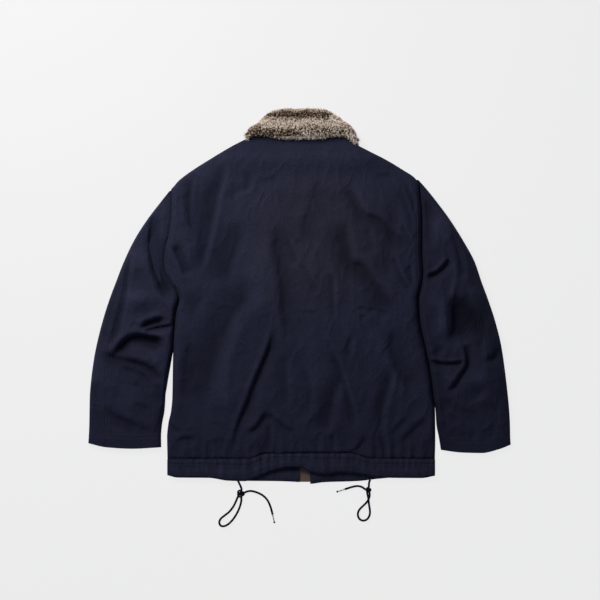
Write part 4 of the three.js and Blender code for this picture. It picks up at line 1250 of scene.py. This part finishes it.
neck = neck_seam(np.clip((x + 80) / 160, 0, 1)) + 2
inside = (y < neck + 1.5) & (z < 24) & (normal[:, 2] < 0.1)
lying = (normal[:, 2] < -0.6) & (z < 6)
grows = 1 - np.maximum(inside, lying).astype(float)
sideways = x / 260 + np.sign(x) * 0.5 * smooth(92, 108, np.abs(x))
combed = np.stack([sideways, np.full(count, -1.0), 1.3 * np.clip(normal[:, 1], 0, 1)], 1)
combed -= normal * (combed * normal).sum(1)[:, None]
combed /= np.maximum(np.linalg.norm(combed, axis=1), 0.2)[:, None]

# Dark bands and pale ones between them across the collar's roll are painted shade and painted
# highlight; the pile is paler where it faces +y, towards the soft box, as painted light, and paler
# at its free edge, whose tips are pale.
patches = rumple(x, y, 15, 12.0, (0.7, 1.5)) + 0.5 * rumple(x, y, 6, 4.0)
left_low = smooth(-122, -104, x) * (1 - smooth(-22, 4, x))
right_low = smooth(4, 26, x) * (1 - smooth(88, 108, x))
tone_and_shade = (-1.0 * bell(y, 379.5, 6) * (1 - smooth(52, 74, np.abs(x))) + 0.5 * bell(y, 364, 7)
         - 0.95 * bell(y, 344, 8) * left_low - 0.42 * bell(y, 349, 8) * right_low
         + 0.9 * smooth(339, 333.5, y) + 0.3 * smooth(0.75, 1.0, normal[:, 1])
         + 0.1 * smooth(80, 110, np.abs(x))
         - 0.5 * bell(x + 3 - 0.5 * (y - 340), 0, 6) * smooth(360, 348, y))
pale = np.clip(0.66 + 0.3 * patches + tone_and_shade, 0, 1)

fine.vertices.foreach_set("co", (spot * MM).ravel())
for key, value in (("grows", grows), ("pale", pale), ("reach", mix(0.5, 1, high_up))):
    fine.attributes.new(key, "FLOAT", "POINT").data.foreach_set("value", value.astype("f"))
layer = fine.attributes.new("combed", "FLOAT_VECTOR", "POINT")
layer.data.foreach_set("vector", combed.astype("f").ravel())
fine.polygons.foreach_set("use_smooth", [True] * len(fine.polygons))
fine.materials.clear()
fine.materials.append(fur_ground)
ground = keep(placed("collar_ground", fine), "fur", "collar")

# %% Hair
# Acrylic fur hair: dark brown at the root, pale beige at the tip, a soft gloss along it.
hair_fibre, tree, shader, place = surface("mottled acrylic fur hair", "97836D")
along, paleness, chance = (attribute(tree, name) for name in ("along", "pale", "chance"))
fleck = cloudy(tree, vector(tree, "MULTIPLY", place["Object"], (1.0, 0.8, 0.3)), 300.0, 2.0,
               {"Roughness": 0.7})
shift = calc(tree, "ADD", chance, ranged(tree, fleck, 0.42, 0.58, -0.55, 0.6))
tip = ramp(tree, calc(tree, "ADD", paleness, shift, use_clamp=True), (0, "24170F"),
           (0.24, "5E4535"), (0.46, "B2937A"), (0.70, "E6D2BA"), (1, "FFF6EA"))
root = blend(tree, 0.35, srgb("33261D"), tip)
coat(tree, shader, blend(tree, ranged(tree, along, 0.0, 0.5), root, tip), 0.6, 0.3)


# %% Trees of Geometry Nodes
def grower(name, **sockets):
    """A new tree with a geometry input and named inputs, and the numbers of the inputs."""
    tree = bpy.data.node_groups.new(name, "GeometryNodeTree")
    tree.is_modifier = True
    for way in ("OUTPUT", "INPUT"):
        tree.interface.new_socket("Geometry", in_out=way, socket_type="NodeSocketGeometry")
    numbers = {}
    for label, value in sockets.items():
        label = label.replace("_", " ")
        kind = {float: "Float", int: "Int", type(None): "Material"}[type(value)]
        made = tree.interface.new_socket(label, in_out="INPUT", socket_type=f"NodeSocket{kind}")
        if value is not None:
            made.default_value = value
        numbers[label] = made.identifier
    return tree, numbers, add(tree, "NodeGroupInput").outputs


def any_value(tree, low, high, seed):
    """A random value for each element, between two numbers or two vectors."""
    if isinstance(low, tuple):
        return add(tree, "FunctionNodeRandomValue", {0: low, 1: high, "Seed": seed},
                   data_type="FLOAT_VECTOR").outputs[0]
    return add(tree, "FunctionNodeRandomValue", {2: low, 3: high, "Seed": seed},
               data_type="FLOAT").outputs[1]


def position(tree):
    return add(tree, "GeometryNodeInputPosition").outputs[0]


def separated(tree, value):
    return add(tree, "ShaderNodeSeparateXYZ", {0: value}).outputs


def shown(tree, geometry, material):
    """Sets the material of the geometry and sends it out of the tree."""
    painted = add(tree, "GeometryNodeSetMaterial", {"Geometry": geometry, "Material": material})
    add(tree, "NodeGroupOutput", {0: painted.outputs[0]})


def grown(name, mesh, tree, numbers, values):
    """A new object with the plain mesh that a tree makes from a mesh."""
    carrier = placed("carrier", mesh)
    modifier = carrier.modifiers.new("grow", "NODES")
    modifier.node_group = tree
    for key, value in values.items():
        modifier[numbers[key]] = value
    return placed(name, plain_mesh(carrier))


# %% Tree that grows the hair
fur, FUR_INPUTS, given = grower("fur pile", Hairs_per_m2=1e6, Length=0.014, Thickness=0.0002,
                                Lift=0.45, Ruffle=1.2, Curl=0.2, Seed=1, Material=None)
seed, thickness = given["Seed"], given["Thickness"]
grows, reach, way = (
    add(fur, "GeometryNodeInputNamedAttribute", {"Name": name}, data_type=kind)
    .outputs["Attribute"] for name, kind in (("grows", "FLOAT"), ("reach", "FLOAT"),
                                             ("combed", "FLOAT_VECTOR")))
roots = add(fur, "GeometryNodeDistributePointsOnFaces",
            {"Mesh": given["Geometry"], "Seed": seed,
             "Density": calc(fur, "MULTIPLY", given["Hairs per m2"], grows)}).outputs

# The way a hair stands: combed, raised off the ground, ruffled in locks, each a bit astray
lock = vector(fur, "SUBTRACT", cloudy(fur, position(fur), 150.0, 3.0, output="Color"),
              (0.5, 0.5, 0.5))
for part in (vector(fur, "SCALE", roots["Normal"], given["Lift"]),
             vector(fur, "SCALE", lock, given["Ruffle"]),
             any_value(fur, (-0.7, -0.7, -0.7), (0.7, 0.7, 0.7), seed)):
    way = vector(fur, "ADD", way, part)
spin = add(fur, "FunctionNodeEulerToRotation",
           {0: xyz(fur, Z=any_value(fur, 0.0, TURN, seed))}).outputs[0]
stance = add(fur, "FunctionNodeAlignRotationToVector", {"Rotation": spin, "Vector": way},
             axis="Z").outputs[0]

# One hair is a tapered spike that bows to one side
cone = add(fur, "GeometryNodeMeshCone", {"Vertices": 3, "Side Segments": 2, "Fill Segments": 1,
                                         "Radius Top": 0.0, "Radius Bottom": 1.0, "Depth": 1.0})
height = separated(fur, position(fur))["Z"]
bow = calc(fur, "MULTIPLY", calc(fur, "POWER", height, 2.0), given["Curl"])
bend = calc(fur, "MULTIPLY", bow, calc(fur, "DIVIDE", given["Length"], thickness))
bent = add(fur, "GeometryNodeSetPosition", {"Geometry": cone.outputs["Mesh"],
                                            "Offset": xyz(fur, X=bend)})
spike = add(fur, "GeometryNodeStoreNamedAttribute",
            {"Geometry": bent.outputs[0], "Name": "along", "Value": height},
            data_type="FLOAT", domain="POINT")
long = calc(fur, "MULTIPLY", calc(fur, "MULTIPLY", any_value(fur, 0.6, 1.1, seed),
                                  given["Length"]), reach)
hairs = add(fur, "GeometryNodeInstanceOnPoints",
            {"Points": roots["Points"], "Instance": spike.outputs[0], "Rotation": stance,
             "Scale": xyz(fur, X=thickness, Y=thickness, Z=long)})
marked = add(fur, "GeometryNodeStoreNamedAttribute",
             {"Geometry": hairs.outputs[0], "Name": "chance",
              "Value": any_value(fur, -0.18, 0.18, seed)}, data_type="FLOAT", domain="INSTANCE")
real = add(fur, "GeometryNodeRealizeInstances", {0: marked.outputs[0]})
where = separated(fur, position(fur))
above = xyz(fur, X=where["X"], Y=where["Y"], Z=calc(fur, "MAXIMUM", where["Z"], 0.3 * MM))
laid_down = add(fur, "GeometryNodeSetPosition", {"Geometry": real.outputs[0],
                                                 "Position": above})
shown(fur, laid_down.outputs[0], given["Material"])

# %% Grow the pile in layers
PILE = rows_of("""amount length thick lift ruffle curl seed
4.2e5 0.0075 0.00034 1.0 1.4 0.12 11
4.2e5 0.0090 0.00030 0.70 1.7 0.20 23
4.2e5 0.0095 0.00027 0.60 1.9 0.24 37
3.3e5 0.0105 0.00023 0.50 2.1 0.28 51
""")
for name, row in zip(("underfur", "pile_low", "pile_high", "guard_hair"), PILE):
    values = dict(zip(FUR_INPUTS, (*row[:-1], int(row.seed), hair_fibre)))
    keep(grown(f"collar_{name}", fine, fur, FUR_INPUTS, values), "fur")

# %% [markdown]
# ## Topstitching
# The seams are lapped and sewn down with two rows of stitches in navy thread. A stitch is
# a small rounded bar; a Geometry Nodes tree sets one every few millimetres along lines
# that are laid on the cloth, which is the way such rows are made when there are thousands.

# %% Thread
# Cotton-wrapped thread: matt like the cloth, a little paler as it stands up in the light.
thread, tree, shader, place = surface("navy sewing thread", "34394F")
twist = cloudy(tree, place["Object"], 1800.0)
coat(tree, shader, blend(tree, twist, srgb("232737"), srgb("434962")), 0.75, 0.2)

# %% Tree that sews
sewing, SEW_INPUTS, given = grower("row of stitches", Pitch=0.004, Stitch=0.003, Thread=0.0005,
                                   Material=None)
line = add(sewing, "GeometryNodeMeshToCurve", {"Mesh": given["Geometry"]})
marks = add(sewing, "GeometryNodeResampleCurve", {"Curve": line.outputs[0],
                                                  "Length": given["Pitch"]}, mode="LENGTH")
run = add(sewing, "GeometryNodeInputTangent")
lie = add(sewing, "FunctionNodeAlignRotationToVector", {"Vector": run.outputs[0]}, axis="X")
bar = add(sewing, "GeometryNodeMeshUVSphere", {"Segments": 5, "Rings": 4, "Radius": 0.5})
sewn = add(sewing, "GeometryNodeInstanceOnPoints",
           {"Points": marks.outputs[0], "Instance": bar.outputs["Mesh"],
            "Rotation": lie.outputs[0],
            "Scale": xyz(sewing, X=given["Stitch"], Y=given["Thread"], Z=given["Thread"])})
solid = add(sewing, "GeometryNodeRealizeInstances", {0: sewn.outputs[0]})
shown(sewing, solid.outputs[0], given["Material"])

# %% Lines on the cloth
PITCH, STITCH, THREAD = 0.0040, 0.0030, 0.0006  # real thread is 0.4 mm thick
CASING_ROWS, FRONT_CASING_ROWS = (0.09, 0.3, 0.84), (0.8, 0.93)  # shares of the band
CUFF_ROWS = (21, 29)  # distances from the cuff's edge


def laid(cloth, rows):
    """Mesh of lines that lie on a piece of cloth; each row is a list of x and y."""
    mesh = cloth.data
    tree = BVHTree.FromPolygons([v.co for v in mesh.vertices], [p.vertices for p in mesh.polygons])
    points, edges = [], []
    for row in rows:
        start = len(points)
        for px, py in through(row, 1.5):
            hit = tree.ray_cast(Vector((px * MM, py * MM, 0.2)), Vector((0, 0, -1)))[0]
            if hit is not None:
                points.append((hit.x, hit.y, hit.z + 0.00012))
        edges += [(k, k + 1) for k in range(start, len(points) - 1)]
    made = bpy.data.meshes.new("lines")
    made.from_pydata(points, edges, [])
    return made


def beside(edge, inward, high, low):
    """Row at the distance inward from an edge that is given as x at each height."""
    ys = np.arange(high, low, -18)
    return np.stack([edge(ys) + inward, ys], 1)


def in_band(x, seam, free, shares):
    """Rows along x at shares of the way from a casing's seam to its free edge."""
    return [np.stack([x, mix(seam, free(x), share)], 1) for share in shares]


hem_x = np.linspace(BODY[-1].left + 4, BODY[-1].right - 4, 60)
ROWS = {
    "back": (back, [beside(body["left"], d, 204, 6) for d in (3.5, 10)]
             + [beside(body["right"], -d, 224, 6) for d in (3.5, 10)]),
    "hem_back": (hem_back, in_band(hem_x, hem_seam(hem_x), hem_edge, CASING_ROWS)),
}
for side, (out, rows, cuff, _) in SLEEVES.items():
    read = columns(rows)
    outer_rows = [beside(lambda ys: read["outer"](ys) - out * (read["seam"](ys) + d), 0,
                         rows[1].y, -300) for d in (2.2, 9)]
    inner_row = beside(lambda ys: body[side](ys) + out * (read["apart"](ys) + 9), 0, -60, -300)
    across = np.linspace(0.09, 0.97, 24)
    x = mix(rows[-1].outer, body[side](rows[-1].y) + out * rows[-1].apart, across)
    cuff_rows = [np.stack([x, cuff(across) + up], 1) for up in CUFF_ROWS]
    ROWS[f"sleeve_{side}"] = (bpy.data.objects[f"under_sleeve_{side}"],
                              [*outer_rows, inner_row, *cuff_rows])
    hem_x = np.linspace(OPENING[side] + out * 3, getattr(BODY[-1], side) - out * 4, 40)
    ROWS[f"hem_front_{side}"] = (bpy.data.objects[f"hem_casing_front_{side}"],
                                 in_band(hem_x, FRONT_SEAM_Y, front_edge, FRONT_CASING_ROWS))

for name, (cloth, rows) in ROWS.items():
    values = dict(zip(SEW_INPUTS, (PITCH, STITCH, THREAD, thread)))
    keep(grown(f"stitches_{name}", laid(cloth, rows), sewing, SEW_INPUTS, values), "navy_cloth")

# %% [markdown]


for side in SLEEVES:
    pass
